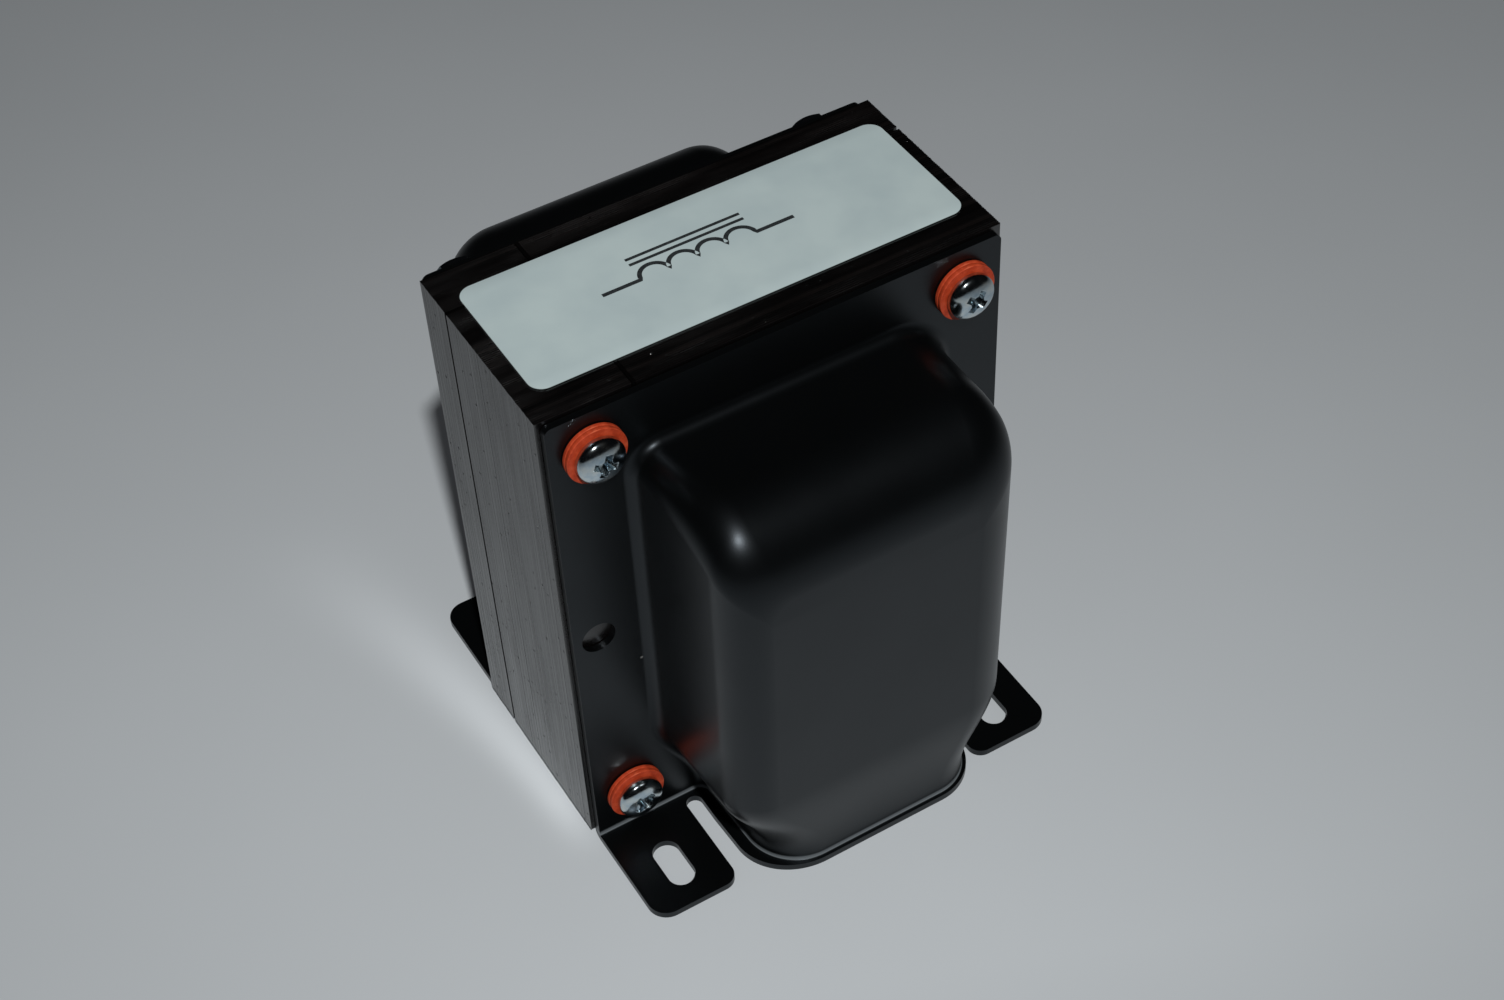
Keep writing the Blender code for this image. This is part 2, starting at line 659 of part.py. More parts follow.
def build_fasteners(parts, cutters, zinc, fibre, paper):
    screw = screw_mesh(cutters)
    nut = nut_mesh(cutters)
    ring = [circle(FIBRE_WASHER_OUTER / 2), circle(FIBRE_WASHER_INNER / 2)]
    sleeve_outer = BOLT_HOLE / 2 - SLEEVE_CLEARANCE
    sleeve_inner = SCREW_DIAMETER / 2 + SLEEVE_CLEARANCE
    sleeve = [circle(sleeve_outer, SMALL_CIRCLE_STEPS), circle(sleeve_inner, SMALL_CIRCLE_STEPS)]
    for corner, (sx, sz) in CORNERS.items():
        x, z = sx * BOLT_X, CORE_MIDDLE + sz * BOLT_Z
        plate("bolt_sleeve_" + corner, sleeve, CORE_DEPTH, parts, paper, (x, 0, z), FACING_FRONT)

        seat = -FLANGE_FACE - SEAT_GAP
        for number in range(1, FRONT_FIBRE_WASHERS + 1):
            place = (x, seat - FIBRE_WASHER_THICKNESS / 2, z)
            name = f"fibre_washer_{corner}_{number}"
            plate(name, ring, FIBRE_WASHER_THICKNESS, parts, fibre, place, FACING_FRONT)
            seat -= FIBRE_WASHER_THICKNESS + SEAT_GAP
        turn = math.radians(37 * (sx + 2 * sz))
        put("screw_" + corner, screw, zinc, parts, (x, seat, z), (math.pi / 2, turn, 0))

        seat = FLANGE_FACE + SEAT_GAP
        place = (x, seat + FIBRE_WASHER_THICKNESS / 2, z)
        plate("rear_fibre_washer_" + corner, ring, FIBRE_WASHER_THICKNESS, parts, fibre, place, FACING_FRONT)
        seat += FIBRE_WASHER_THICKNESS + SEAT_GAP
        place = (x, seat + LOCK_WASHER_THICKNESS / 2, z)
        outline = [lock_washer_outline()]
        plate("lock_washer_" + corner, outline, LOCK_WASHER_THICKNESS, parts, zinc, place, FACING_FRONT)
        seat += LOCK_WASHER_THICKNESS + SEAT_GAP
        put("nut_" + corner, nut, zinc, parts, (x, seat + NUT_THICKNESS / 2, z), FACING_FRONT)


def build_label(parts, foil):
    top = CORE_MIDDLE + CORE_HEIGHT / 2 + LABEL_GAP + LABEL_THICKNESS / 2
    outline = rounded_rectangle(LABEL_LENGTH, LABEL_WIDTH, LABEL_CORNER)
    plate("label", [outline], LABEL_THICKNESS, parts, foil, (LABEL_SHIFT, 0, top))


def main():
    clear_scene()
    parts = new_collection("choke_inductor")
    cutters = new_collection("cutters")
    paint = make_material("black_paint", (0.010, 0.011, 0.012), 0.38)
    steel = make_material("varnished_steel", (0.020, 0.019, 0.018), 0.30, 0.4)
    zinc = make_material("zinc_plate", (0.60, 0.63, 0.66), 0.28, 1.0)
    fibre = make_material("red_fibre", (0.42, 0.075, 0.025), 0.60)
    paper = make_material("pressboard", (0.45, 0.33, 0.19), 0.80)
    copper = make_material("enamelled_copper", (0.45, 0.14, 0.05), 0.35, 0.9)
    tape = make_material("coil_wrap", (0.30, 0.20, 0.09), 0.60)
    wood = make_material("wedge_board", (0.50, 0.36, 0.20), 0.75)
    foil = make_material("label_stock", (0.45, 0.50, 0.50), 0.45)
    build_core(parts, steel)
    build_gap_spacer(parts, paper)
    build_coil(parts, paper, copper, tape, wood)
    build_bells(parts, cutters, paint)
    build_fasteners(parts, cutters, zinc, fibre, paper)
    build_label(parts, foil)


main()
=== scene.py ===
"""Looks of the choke inductor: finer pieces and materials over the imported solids, in metres, +Z up."""

import math
import random

import bmesh
import bpy
from mathutils import Matrix, Vector


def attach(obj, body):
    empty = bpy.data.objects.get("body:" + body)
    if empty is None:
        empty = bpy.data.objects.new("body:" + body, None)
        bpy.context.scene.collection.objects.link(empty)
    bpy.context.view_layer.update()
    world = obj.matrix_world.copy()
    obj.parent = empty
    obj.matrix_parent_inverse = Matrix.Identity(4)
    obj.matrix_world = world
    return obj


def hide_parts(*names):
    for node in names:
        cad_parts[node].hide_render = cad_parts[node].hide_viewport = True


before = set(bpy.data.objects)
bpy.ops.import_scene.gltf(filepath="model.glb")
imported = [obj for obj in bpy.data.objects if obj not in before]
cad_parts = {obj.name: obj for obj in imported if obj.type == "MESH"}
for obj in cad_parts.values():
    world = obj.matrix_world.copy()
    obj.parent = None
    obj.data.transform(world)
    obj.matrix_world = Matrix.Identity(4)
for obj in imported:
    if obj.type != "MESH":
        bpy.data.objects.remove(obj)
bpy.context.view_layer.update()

# Laminations
TONGUE = 0.0381
SPINE = 0.01905
WINDOW_HEIGHT = 0.01905
WINDOW_LENGTH = 0.05715
BAR_WIDTH = 0.01905
OUTER_LEG = 0.01905
FRONT_PACK_DEPTH = 0.0337
REAR_PACK_DEPTH = 0.01075
PACK_GAP = 0.0002
SHEETS_IN_FRONT_PACK = 67
SHEETS_IN_REAR_PACK = 21
SHEET_CHAMFER = 0.00008
SHEET_STEP = 0.00003
SHEET_SEED = 7
SPLIT_GROOVE = 0.0006
BOLT_TO_EDGE = 0.009525
CORE_LIFT = 0.0023
AIR_GAP = 0.0008

# End bells
SHEET = 0.0015
SEAT_GAP = 0.0002
FLANGE_INSET = 0.00096
FLANGE_TOP_DROP = 0.0008
FLANGE_CORNER = 0.0015
BELL_EDGE = 0.00014
POCKET_WALL_TO_BOLT = 0.0044
POCKET_TOP_TO_CORE_TOP = 0.01415
POCKET_DEPTH = 0.0319
POCKET_DRAFT = math.radians(2)
LEFT_WALL_SHIFT = 0.0031
LEFT_CORNERS = (0.0055, 0.0085, 0.0050)
RIGHT_CORNERS = (0.0115, 0.0100, 0.0050)
CORNER_SWELL = 0.0210
ROOT_RADIUS = 0.0025
LEFT_NOSE_RADIUS = 0.0082
RIGHT_NOSE_RADIUS = 0.0112
TOP_NOSE_RADIUS = 0.0165
LEFT_FOOT_NOSE_RADIUS = 0.0112
RIGHT_FOOT_NOSE_RADIUS = 0.0098
NECK_FOOT = 0.0043
NECK_HEAD = 0.0275
LEFT_NECK = 0.0084
RIGHT_NECK = 0.0069
FRONT_NECK = 0.0018
FRONT_LEAN = 0.0020
BEND_RADIUS = 0.0004
FRONT_LIP = 0.00085
LEFT_LIP = 0.0024
RIGHT_LIP = 0.0008
LIP_TRIM = 0.0002
RELIEF_START = 0.0015
FOOT_LENGTH = 0.0242
FOOT_WIDTH = 0.0186
FOOT_OUTER_CORNER = 0.0042
FOOT_INNER_CORNER = 0.0030
FOOT_SLOT_WIDTH = 0.0057
FOOT_SLOT_LENGTH = 0.0117
FOOT_SLOT_FROM_FLANGE = 0.0139
SIDE_HOLE = 0.0070
SIDE_HOLE_TO_FLANGE_EDGE = 0.0053

DENT_PLACE = (-0.0213, -0.0444, 0.0062)
DENT_SPREAD = 0.0022
DENT_SPREADS_REACHED = 3
DENT_DEPTH = 0.0005
DENT_INWARD = (0.80, 0.60, 0.0)

# Fasteners
SCREW_DIAMETER = 0.0048
SCREW_PAST_NUT = 0.0022
THREAD_PITCH = 0.00106
THREAD_DEPTH = 0.00042
THREAD_SHOWN = 0.0090
THREAD_END_LENGTH = 0.0010
THREAD_END_TAPER = 0.18
THREAD_STEEPNESS = 1.25
HEAD_DIAMETER = 0.0095
HEAD_HEIGHT = 0.0032
HEAD_RIM = 0.0011
HEAD_DOME_ANGLES = (84, 6)
HEAD_FOOT_RADIUS = 0.0003
HEAD_EDGE = 0.00008
RECESS_REACH = 0.0064
RECESS_WIDTH = 0.0016
RECESS_DEPTH = 0.0022
RECESS_REACH_SHARES = {"floor": 0.45, "top": 1.1}
RECESS_WIDTH_SHARES = {"floor": 0.75, "top": 1.05}
RECESS_CONE_RADII = {"floor": 0.0006, "top": 0.0021}
RECESS_CONE_DROPS = {"rim": 0.0002, "point": 0.0004}
FIBRE_WASHER_OUTER = 0.0120
FIBRE_WASHER_INNER = 0.0052
FIBRE_WASHER_THICKNESS = 0.0008
FIBRE_WASHER_EDGE = 0.00014
FRONT_FIBRE_WASHERS = 2
LOCK_WASHER_OUTER = 0.0086
LOCK_WASHER_THICKNESS = 0.0012
LOCK_WASHER_EDGE = 0.00012
LOCK_WASHER_SPLIT = math.radians(14)
NUT_ACROSS_FLATS = 0.0095
NUT_THICKNESS = 0.0032
NUT_CHAMFER = 0.0006
NUT_EDGE = 0.00010
THREAD_CLEARANCE = 0.00015

# Label and the symbol printed on it
LABEL_LENGTH = 0.0895
LABEL_WIDTH = 0.0315
LABEL_CORNER = 0.0030
LABEL_THICKNESS = 0.0002
LABEL_EDGE = 0.00004
LABEL_GAP = 0.0001
LABEL_SHIFT = 0.0005
SYMBOL_THICKNESS = 0.00002
SYMBOL_TURNS = 4
SYMBOL_TURN_RADIUS = 0.0030
SYMBOL_FIRST_TURN = -0.0120
SYMBOL_ENDS = (-0.0230, 0.0170)
SYMBOL_LINE = 0.0009
SYMBOL_BAR_ENDS = (-0.0150, 0.0090)
SYMBOL_BAR_HEIGHTS = (0.0046, 0.0062)
SYMBOL_BAR_LINE = 0.0007

# Finishes
LOW_SHEEN = {"Specular IOR Level": 0.25}
PAINT_BLACK = (0.0011, 0.0013, 0.0014)
# A painted highlight: a pale band just above the fold where the pocket meets its lip, with the heights
# where it fades in and where it fades out
FOLD_PAINTED_HIGHLIGHT = (0.105, 0.118, 0.126)
FOLD_HIGHLIGHT_START = (SHEET + 0.00004, SHEET + 0.00018)
FOLD_HIGHLIGHT_END = (SHEET + 0.00130, SHEET + 0.00060)

# Floor: the painted pool of light on it, where it is brightest and how fast it falls off, the painted
# shade towards the camera, and the painted streak of light beside the core
FLOOR_REACH = 6.0
FLOOR_DROP = 0.0001
FLOOR_COLOUR = (0.415, 0.440, 0.455)
FLOOR_PAINTED_LIGHT_CENTRE = (-0.048, -0.084)
FLOOR_PAINTED_LIGHT_SPREAD = (0.199, 0.233)
FLOOR_PAINTED_LIGHT_FALL = 0.42
# Painted shade: the floor darker towards the camera
FLOOR_PAINTED_SHADE_SLOPE = 0.4
FLOOR_PAINTED_SHADE_EDGE = (-0.175, -0.090)
FLOOR_PAINTED_SHADE_SHARE = 0.8
FLOOR_PAINTED_LIGHT_LEAST = 0.36
# A painted streak of light beside the core
STREAK_X = -0.0495
STREAK_DRIFT = 0.023
STREAK_START = -0.015
STREAK_END = 0.105
STREAK_RISE = (-0.014, 0.006)
STREAK_BEND = 1.6
STREAK_WIDTH = 0.0042
STREAK_WIDENING = 0.011
STREAK_BASE = 2.718
STREAK_STRENGTH = 0.42

# Light: two lamps in one place, of which the second shows in no gloss, and the room
LAMP_PLACE = (-0.35, -0.99, 1.46)
LAMP_AIM = (0, 0, 0.06)
LAMP_SIZE = 0.06
KEY_POWER = 12
FILL_POWER = 24
ROOM_LIGHT = (0.10, 0.10, 0.105)
ROOM_GLOSS = (0.003, 0.003, 0.0034)
BACKDROP = (0.36, 0.38, 0.39)

# Camera
CAMERA_PLACE = (-0.16024, -0.30342, 0.40612)
CAMERA_RIGHT = (0.85665, -0.51438, -0.03956)
CAMERA_DOWN = (-0.39387, -0.60257, -0.69410)
CAMERA_FORWARD = (0.33319, 0.61019, -0.71879)
CAMERA_LENS = 59.014
CAMERA_SENSOR = 36

# How finely round shapes are divided
CIRCLE_STEPS = 72
BORE_STEPS = 48
CONE_STEPS = 32
SLOT_STEPS = 24
THREAD_STEPS = 40
THREAD_ROWS_PER_TURN = 12
CORNER_STEPS = 10
ROOT_STEPS = 12
NOSE_STEPS = 26
POCKET_CORNER_STEPS = 30
BEND_STEPS = 6
FOOT_STEPS = 5
NECK_STEPS = 36
WALL_STEPS = 12
HEAD_STEPS = 20
SYMBOL_STEPS = 20
WELD = 0.000001
CUT_MARGIN = 0.002

# Worked out from the sizes above
CORE_HEIGHT = TONGUE + 2 * WINDOW_HEIGHT + 2 * OUTER_LEG
CORE_WIDTH = SPINE + WINDOW_LENGTH + AIR_GAP + BAR_WIDTH
CORE_DEPTH = FRONT_PACK_DEPTH + PACK_GAP + REAR_PACK_DEPTH
CORE_MIDDLE = CORE_LIFT + CORE_HEIGHT / 2
CORE_TOP = CORE_LIFT + CORE_HEIGHT
LEG_ROOT = CORE_WIDTH / 2 - SPINE
LEG_TIP = LEG_ROOT - WINDOW_LENGTH
BOLT_X = CORE_WIDTH / 2 - BOLT_TO_EDGE
BOLT_Z = CORE_HEIGHT / 2 - BOLT_TO_EDGE
FLANGE_BACK = CORE_DEPTH / 2 + SEAT_GAP
FLANGE_FACE = FLANGE_BACK + SHEET
FLANGE_HALF_WIDTH = CORE_WIDTH / 2 - FLANGE_INSET
FLANGE_TOP = CORE_TOP - FLANGE_TOP_DROP
POCKET_TOP = CORE_TOP - POCKET_TOP_TO_CORE_TOP
POCKET_HALF_WIDTH = BOLT_X - POCKET_WALL_TO_BOLT
FOOT_INNER = FLANGE_HALF_WIDTH - FOOT_WIDTH
FOOT_MIDDLE = FLANGE_HALF_WIDTH - FOOT_WIDTH / 2

HALF_WIDTHS = {-1: POCKET_HALF_WIDTH - LEFT_WALL_SHIFT, 1: POCKET_HALF_WIDTH}
CORNER_RADII = {-1: LEFT_CORNERS, 1: RIGHT_CORNERS}
NOSE_RADII = {-1: LEFT_NOSE_RADIUS, 1: RIGHT_NOSE_RADIUS}
SIDE_NECKS = {-1: LEFT_NECK, 1: RIGHT_NECK}
SIDE_LIPS = {-1: LEFT_LIP, 1: RIGHT_LIP}
FOOT_NOSE_RADII = {-1: LEFT_FOOT_NOSE_RADIUS, 1: RIGHT_FOOT_NOSE_RADIUS}

FACING_FRONT = (math.pi / 2, 0, 0)
CORNERS = {
    "upper_left": (-1, 1),
    "upper_right": (1, 1),
    "lower_left": (-1, -1),
    "lower_right": (1, -1),
}
# The turn of each screw's cross recess as the photograph shows it, in degrees
RECESS_TURNS = {"upper_left": 20, "upper_right": 35, "lower_left": 50, "lower_right": 10}


# Flat outlines


def arc(centre, radius, start, end, steps):
    """Points on an arc, both ends included, with the angles in degrees."""
    points = []
    for step in range(steps + 1):
        angle = math.radians(start + (end - start) * step / steps)
        points.append((centre[0] + radius * math.cos(angle), centre[1] + radius * math.sin(angle)))
    return points


def circle(radius, steps=CIRCLE_STEPS):
    return arc((0, 0), radius, 0, 360, steps)[:-1]


def rounded_rectangle(width, height, radius):
    x, y = width / 2 - radius, height / 2 - radius
    points = []
    for sx, sy, start in ((1, 1, 0), (-1, 1, 90), (-1, -1, 180), (1, -1, 270)):
        points += arc((sx * x, sy * y), radius, start, start + 90, CORNER_STEPS)
    return points


def obround(width, length):
    reach, radius = (length - width) / 2, width / 2
    return arc((0, reach), radius, 0, 180, SLOT_STEPS) + arc((0, -reach), radius, 180, 360, SLOT_STEPS)


def smooth_step(value):
    value = min(max(value, 0), 1)
    return value * value * (3 - 2 * value)


# Meshes and pieces


def as_mesh(made, name, sharp=35):
    """Evaluates an object, welds it, removes it and returns its mesh with smooth sides."""
    bpy.context.view_layer.update()
    graph = bpy.context.evaluated_depsgraph_get()
    mesh = bpy.data.meshes.new_from_object(made.evaluated_get(graph))
    bpy.data.objects.remove(made, do_unlink=True)
    mesh.name = name
    work = bmesh.new()
    work.from_mesh(mesh)
    bmesh.ops.remove_doubles(work, verts=work.verts, dist=WELD)
    bmesh.ops.recalc_face_normals(work, faces=work.faces)
    work.to_mesh(mesh)
    work.free()
    mesh.shade_smooth()
    mesh.set_sharp_from_angle(angle=math.radians(sharp))
    return mesh


def link(name, data, location=(0, 0, 0), rotation=(0, 0, 0)):
    """A new object in the scene."""
    made = bpy.data.objects.new(name, data)
    made.location = location
    made.rotation_euler = rotation
    bpy.context.scene.collection.objects.link(made)
    return made


def plate_mesh(name, outlines, thickness, bevel=0.0):
    """A flat solid made by a curve: the first outline is its edge and the others are holes."""
    curve = bpy.data.curves.new(name, "CURVE")
    curve.dimensions = "2D"
    curve.fill_mode = "BOTH"
    curve.extrude = thickness / 2 - bevel
    curve.bevel_depth = bevel
    curve.bevel_resolution = 2
    if bevel:
        curve.offset = -bevel
    for outline in outlines:
        spline = curve.splines.new("POLY")
        spline.points.add(len(outline) - 1)
        for point, (x, y) in zip(spline.points, outline):
            point.co = (x, y, 0, 1)
        spline.use_cyclic_u = True
    return as_mesh(link(name, curve), name)


def turned_mesh(name, profile, steps=CIRCLE_STEPS):
    """A solid turned about Z from (radius, height) points that run down its outer side."""
    mesh = bpy.data.meshes.new(name)
    edges = [(index, index + 1) for index in range(len(profile) - 1)]
    mesh.from_pydata([(radius, 0, height) for radius, height in profile], edges, [])
    made = link(name, mesh)
    spin = made.modifiers.new("turn", "SCREW")
    spin.steps = steps
    spin.render_steps = steps
    spin.use_merge_vertices = True
    spin.merge_threshold = 0.00001
    return as_mesh(made, name)


def piece(name, mesh, material, node, location=(0, 0, 0), rotation=(0, 0, 0)):
    """A visible piece that rides on the one body and may stand for a node of the model."""
    made = link(name, mesh, location, rotation)
    if not mesh.materials:
        mesh.materials.append(material)
    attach(made, "root")
    if node:
        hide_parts(node)
    return made


def round_edges(target, name, width, angle):
    """Rounds the edges of an object where its faces turn by more than an angle in degrees."""
    rim = target.modifiers.new(name, "BEVEL")
    rim.width = width
    rim.segments = 2
    rim.limit_method = "ANGLE"
    rim.angle_limit = math.radians(angle)


def cut_all(target, cutters):
    for number, cutter in enumerate(cutters):
        boolean = target.modifiers.new(f"cut_{number}", "BOOLEAN")
        boolean.operation = "DIFFERENCE"
        boolean.solver = "EXACT"
        boolean.object = cutter


def remove_all(objects):
    for item in objects:
        bpy.data.objects.remove(item, do_unlink=True)


# Materials


def new_material(name, colour, roughness, others=None):
    """A material with its overall values, which its nodes may then vary."""
    made = bpy.data.materials.new(name)
    made.use_nodes = True
    shader = made.node_tree.nodes["Principled BSDF"]
    values = {"Base Color": (*colour, 1), "Roughness": roughness, **(others or {})}
    for socket, value in values.items():
        shader.inputs[socket].default_value = value
    return made, made.node_tree


def vary(tree, colour, roughness=None, normal=None):
    """Gives a material a colour, a roughness and a normal that change over its surface."""
    shader = tree.nodes["Principled BSDF"]
    for socket, value in (("Base Color", colour), ("Roughness", roughness), ("Normal", normal)):
        if value:
            tree.links.new(value, shader.inputs[socket])


def add_node(tree, kind, values=None, **settings):
    made = tree.nodes.new(kind)
    for name, value in settings.items():
        setattr(made, name, value)
    for name, value in (values or {}).items():
        made.inputs[name].default_value = value
    return made


def object_place(tree, scale=(1, 1, 1), rotation=(0, 0, 0)):
    """Coordinates in metres along the object's own axes, stretched by a scale."""
    place = add_node(tree, "ShaderNodeTexCoord")
    mapping = add_node(tree, "ShaderNodeMapping", {"Scale": scale, "Rotation": rotation})
    tree.links.new(place.outputs["Object"], mapping.inputs["Vector"])
    return mapping.outputs["Vector"]


def noise_of(tree, vector, scale, detail, roughness):
    values = {"Scale": scale, "Detail": detail, "Roughness": roughness}
    made = add_node(tree, "ShaderNodeTexNoise", values)
    tree.links.new(vector, made.inputs["Vector"])
    return made.outputs["Fac"]


def ramp_of(tree, value, stops):
    made = add_node(tree, "ShaderNodeValToRGB")
    elements = made.color_ramp.elements
    while len(elements) < len(stops):
        elements.new(0.5)
    for element, (position, colour) in zip(elements, stops):
        element.position = position
        element.color = (*colour, 1)
    tree.links.new(value, made.inputs["Fac"])
    return made.outputs["Color"]


def range_of(tree, value, low, high, to_low, to_high):
    values = {"From Min": low, "From Max": high, "To Min": to_low, "To Max": to_high}
    made = add_node(tree, "ShaderNodeMapRange", values)
    tree.links.new(value, made.inputs["Value"])
    return made.outputs["Result"]


def smooth_of(tree, value, low, high):
    """A smooth change from 0 at the low value to 1 at the high value."""
    values = {"From Min": low, "From Max": high}
    made = add_node(tree, "ShaderNodeMapRange", values, interpolation_type="SMOOTHSTEP")
    tree.links.new(value, made.inputs["Value"])
    return made.outputs["Result"]


def math_of(tree, first, second, operation="ADD"):
    """The sum of two numbers or outputs, or what another operation makes of them."""
    made = add_node(tree, "ShaderNodeMath", operation=operation)
    for number, value in enumerate((first, second)):
        if isinstance(value, (int, float)):
            made.inputs[number].default_value = value
        else:
            tree.links.new(value, made.inputs[number])
    return made.outputs["Value"]


def product_of(tree, first, second):
    return math_of(tree, first, second, "MULTIPLY")


def units_past(tree, value, start, unit):
    """How many units a value lies past a start."""
    return math_of(tree, math_of(tree, value, start, "SUBTRACT"), unit, "DIVIDE")


def mix_of(tree, share, first, second, blend="MIX"):
    made = add_node(tree, "ShaderNodeMix", data_type="RGBA", blend_type=blend)
    for socket, value in ((made.inputs[0], share), (made.inputs[6], first), (made.inputs[7], second)):
        if isinstance(value, (int, float)):
            socket.default_value = value
        elif isinstance(value, tuple):
            socket.default_value = (*value, 1)
        else:
            tree.links.new(value, socket)
    return made.outputs[2]


def bump_of(tree, height, distance, strength=1.0, after=None):
    made = add_node(tree, "ShaderNodeBump", {"Distance": distance, "Strength": strength})
    tree.links.new(height, made.inputs["Height"])
    if after:
        tree.links.new(after, made.inputs["Normal"])
    return made.outputs["Normal"]


def axes_of(tree, place):
    """The X, Y and Z of a place, as outputs by those names."""
    apart = add_node(tree, "ShaderNodeSeparateXYZ")
    tree.links.new(place, apart.inputs["Vector"])
    return apart.outputs


def scattered(tree, place, scale):
    """Scattered points: the distance from the nearest one, and its own random colour as outputs."""
    points = add_node(tree, "ShaderNodeTexVoronoi", {"Scale": scale, "Randomness": 1.0})
    tree.links.new(place, points.inputs["Vector"])
    chance = add_node(tree, "ShaderNodeSeparateColor")
    tree.links.new(points.outputs["Color"], chance.inputs["Color"])
    return points.outputs["Distance"], chance.outputs


def bell_paint():
    """Satin black paint: a fine orange peel, slow changes of gloss, a few specks and a painted highlight
    along the fold above the lip.
    """
    others = {"IOR": 1.45, "Specular Tint": (0.78, 0.88, 0.97, 1)}
    material, tree = new_material("bell_paint", PAINT_BLACK, 0.42, others)
    place = object_place(tree)
    peel = noise_of(tree, place, 3200, 2.0, 0.6)
    swell = noise_of(tree, place, 60, 3.0, 0.5)
    distance, chance = scattered(tree, place, 120)
    kept = range_of(tree, chance["Red"], 0.93, 0.95, 0.0, 1.0)
    speck = product_of(tree, range_of(tree, distance, 0.025, 0.045, 1.0, 0.0), kept)
    colour = mix_of(tree, speck, PAINT_BLACK, (0.10, 0.10, 0.095))
    height = axes_of(tree, place)["Z"]
    # Painted highlight: pale paint on the band above the lip's fold, set by height alone
    fold = smooth_of(tree, height, *FOLD_HIGHLIGHT_START)
    fold = product_of(tree, fold, smooth_of(tree, height, *FOLD_HIGHLIGHT_END))
    colour = mix_of(tree, fold, colour, FOLD_PAINTED_HIGHLIGHT)
    roughness = range_of(tree, swell, 0.3, 0.7, 0.31, 0.36)
    roughness = math_of(tree, roughness, product_of(tree, speck, 0.3))
    normal = bump_of(tree, peel, 0.000006)
    normal = bump_of(tree, swell, 0.00006, 0.5, normal)
    vary(tree, colour, roughness, normal)
    return material


def lamination_varnish():
    """Dark varnish over the cut edges of the sheets, in runs along them and with a few beads."""
    material, tree = new_material("lamination_varnish", (0.02, 0.018, 0.017), 0.2, {"IOR": 1.9})
    place = object_place(tree)
    along_sheets = object_place(tree, (0.22, 1.3, 0.22))
    tone = add_node(tree, "ShaderNodeAttribute", attribute_name="sheet_tone")
    blotch = noise_of(tree, along_sheets, 160, 5.0, 0.6)
    fine = noise_of(tree, along_sheets, 900, 3.0, 0.6)
    tones = [
        (0.0, (0.0010, 0.0010, 0.0010)),
        (0.7, (0.0018, 0.0016, 0.0016)),
        (1.0, (0.0036, 0.0031, 0.0030)),
    ]
    base = ramp_of(tree, tone.outputs["Fac"], tones)
    stain = ramp_of(tree, blotch, [(0.35, (0.55, 0.50, 0.48)), (0.65, (1.30, 1.15, 1.10))])
    colour = mix_of(tree, 1.0, base, stain, "MULTIPLY")
    distance, chance = scattered(tree, place, 520)
    kept = range_of(tree, chance["Green"], 0.72, 0.90, 0.0, 1.0)
    bead = product_of(tree, smooth_of(tree, distance, 0.20, 0.04), kept)
    roughness = range_of(tree, blotch, 0.35, 0.65, 0.14, 0.30)
    normal = bump_of(tree, fine, 0.00002, 0.6)
    normal = bump_of(tree, blotch, 0.00012, 0.5, normal)
    normal = bump_of(tree, bead, 0.00045, 1.0, normal)
    vary(tree, colour, roughness, normal)
    return material


def zinc_plate():
    """Bright zinc with a bluish cast, fine scratches and duller patches."""
    material, tree = new_material("zinc_plate", (0.62, 0.66, 0.70), 0.25, {"Metallic": 1.0})
    place = object_place(tree)
    patch = noise_of(tree, place, 420, 4.0, 0.6)
    fine = noise_of(tree, object_place(tree, (1, 1, 6)), 1700, 3.0, 0.6)
    tones = [(0.30, (0.36, 0.47, 0.56)), (0.50, (0.56, 0.64, 0.68)), (0.72, (0.74, 0.76, 0.72))]
    colour = ramp_of(tree, patch, tones)
    roughness = range_of(tree, patch, 0.3, 0.7, 0.09, 0.19)
    normal = bump_of(tree, fine, 0.00001, 0.7)
    normal = bump_of(tree, patch, 0.00004, 0.5, normal)
    vary(tree, colour, roughness, normal)
    return material


def red_fibre():
    """Vulcanised fibre: red-brown and cloudy, paler on its worn edges."""
    material, tree = new_material("red_fibre", (0.40, 0.07, 0.02), 0.55, LOW_SHEEN)
    place = object_place(tree)
    cloud = noise_of(tree, place, 700, 5.0, 0.65)
    fibres = noise_of(tree, object_place(tree, (1, 1, 9)), 1200, 3.0, 0.6)
    tones = [(0.30, (0.20, 0.018, 0.005)), (0.50, (0.32, 0.032, 0.009)), (0.72, (0.44, 0.060, 0.022))]
    colour = ramp_of(tree, cloud, tones)
    worn = add_node(tree, "ShaderNodeNewGeometry")
    edge = range_of(tree, worn.outputs["Pointiness"], 0.52, 0.62, 0.0, 0.5)
    colour = mix_of(tree, edge, colour, (0.56, 0.13, 0.06))
    roughness = range_of(tree, fibres, 0.3, 0.7, 0.45, 0.68)
    vary(tree, colour, roughness, bump_of(tree, fibres, 0.00003, 0.8))
    return material


def label_stock():
    """Matte metallised film with a faint grain, a few scuffs and slow changes of gloss."""
    material, tree = new_material("label_stock", (0.33, 0.40, 0.40), 0.42)
    place = object_place(tree)
    grain = noise_of(tree, place, 2600, 2.0, 0.5)
    cloud = noise_of(tree, place, 70, 3.0, 0.5)
    colour = ramp_of(tree, cloud, [(0.35, (0.310, 0.375, 0.380)), (0.65, (0.345, 0.412, 0.410))])
    scuff = noise_of(tree, object_place(tree, (1, 7, 1), (0, 0, 0.6)), 210, 4.0, 0.7)
    rubbed = range_of(tree, scuff, 0.70, 0.78, 0.0, 0.55)
    colour = mix_of(tree, rubbed, colour, (0.20, 0.24, 0.24))
    roughness = range_of(tree, cloud, 0.3, 0.7, 0.38, 0.50)
    vary(tree, colour, roughness, bump_of(tree, grain, 0.000004, 0.6))
    return material


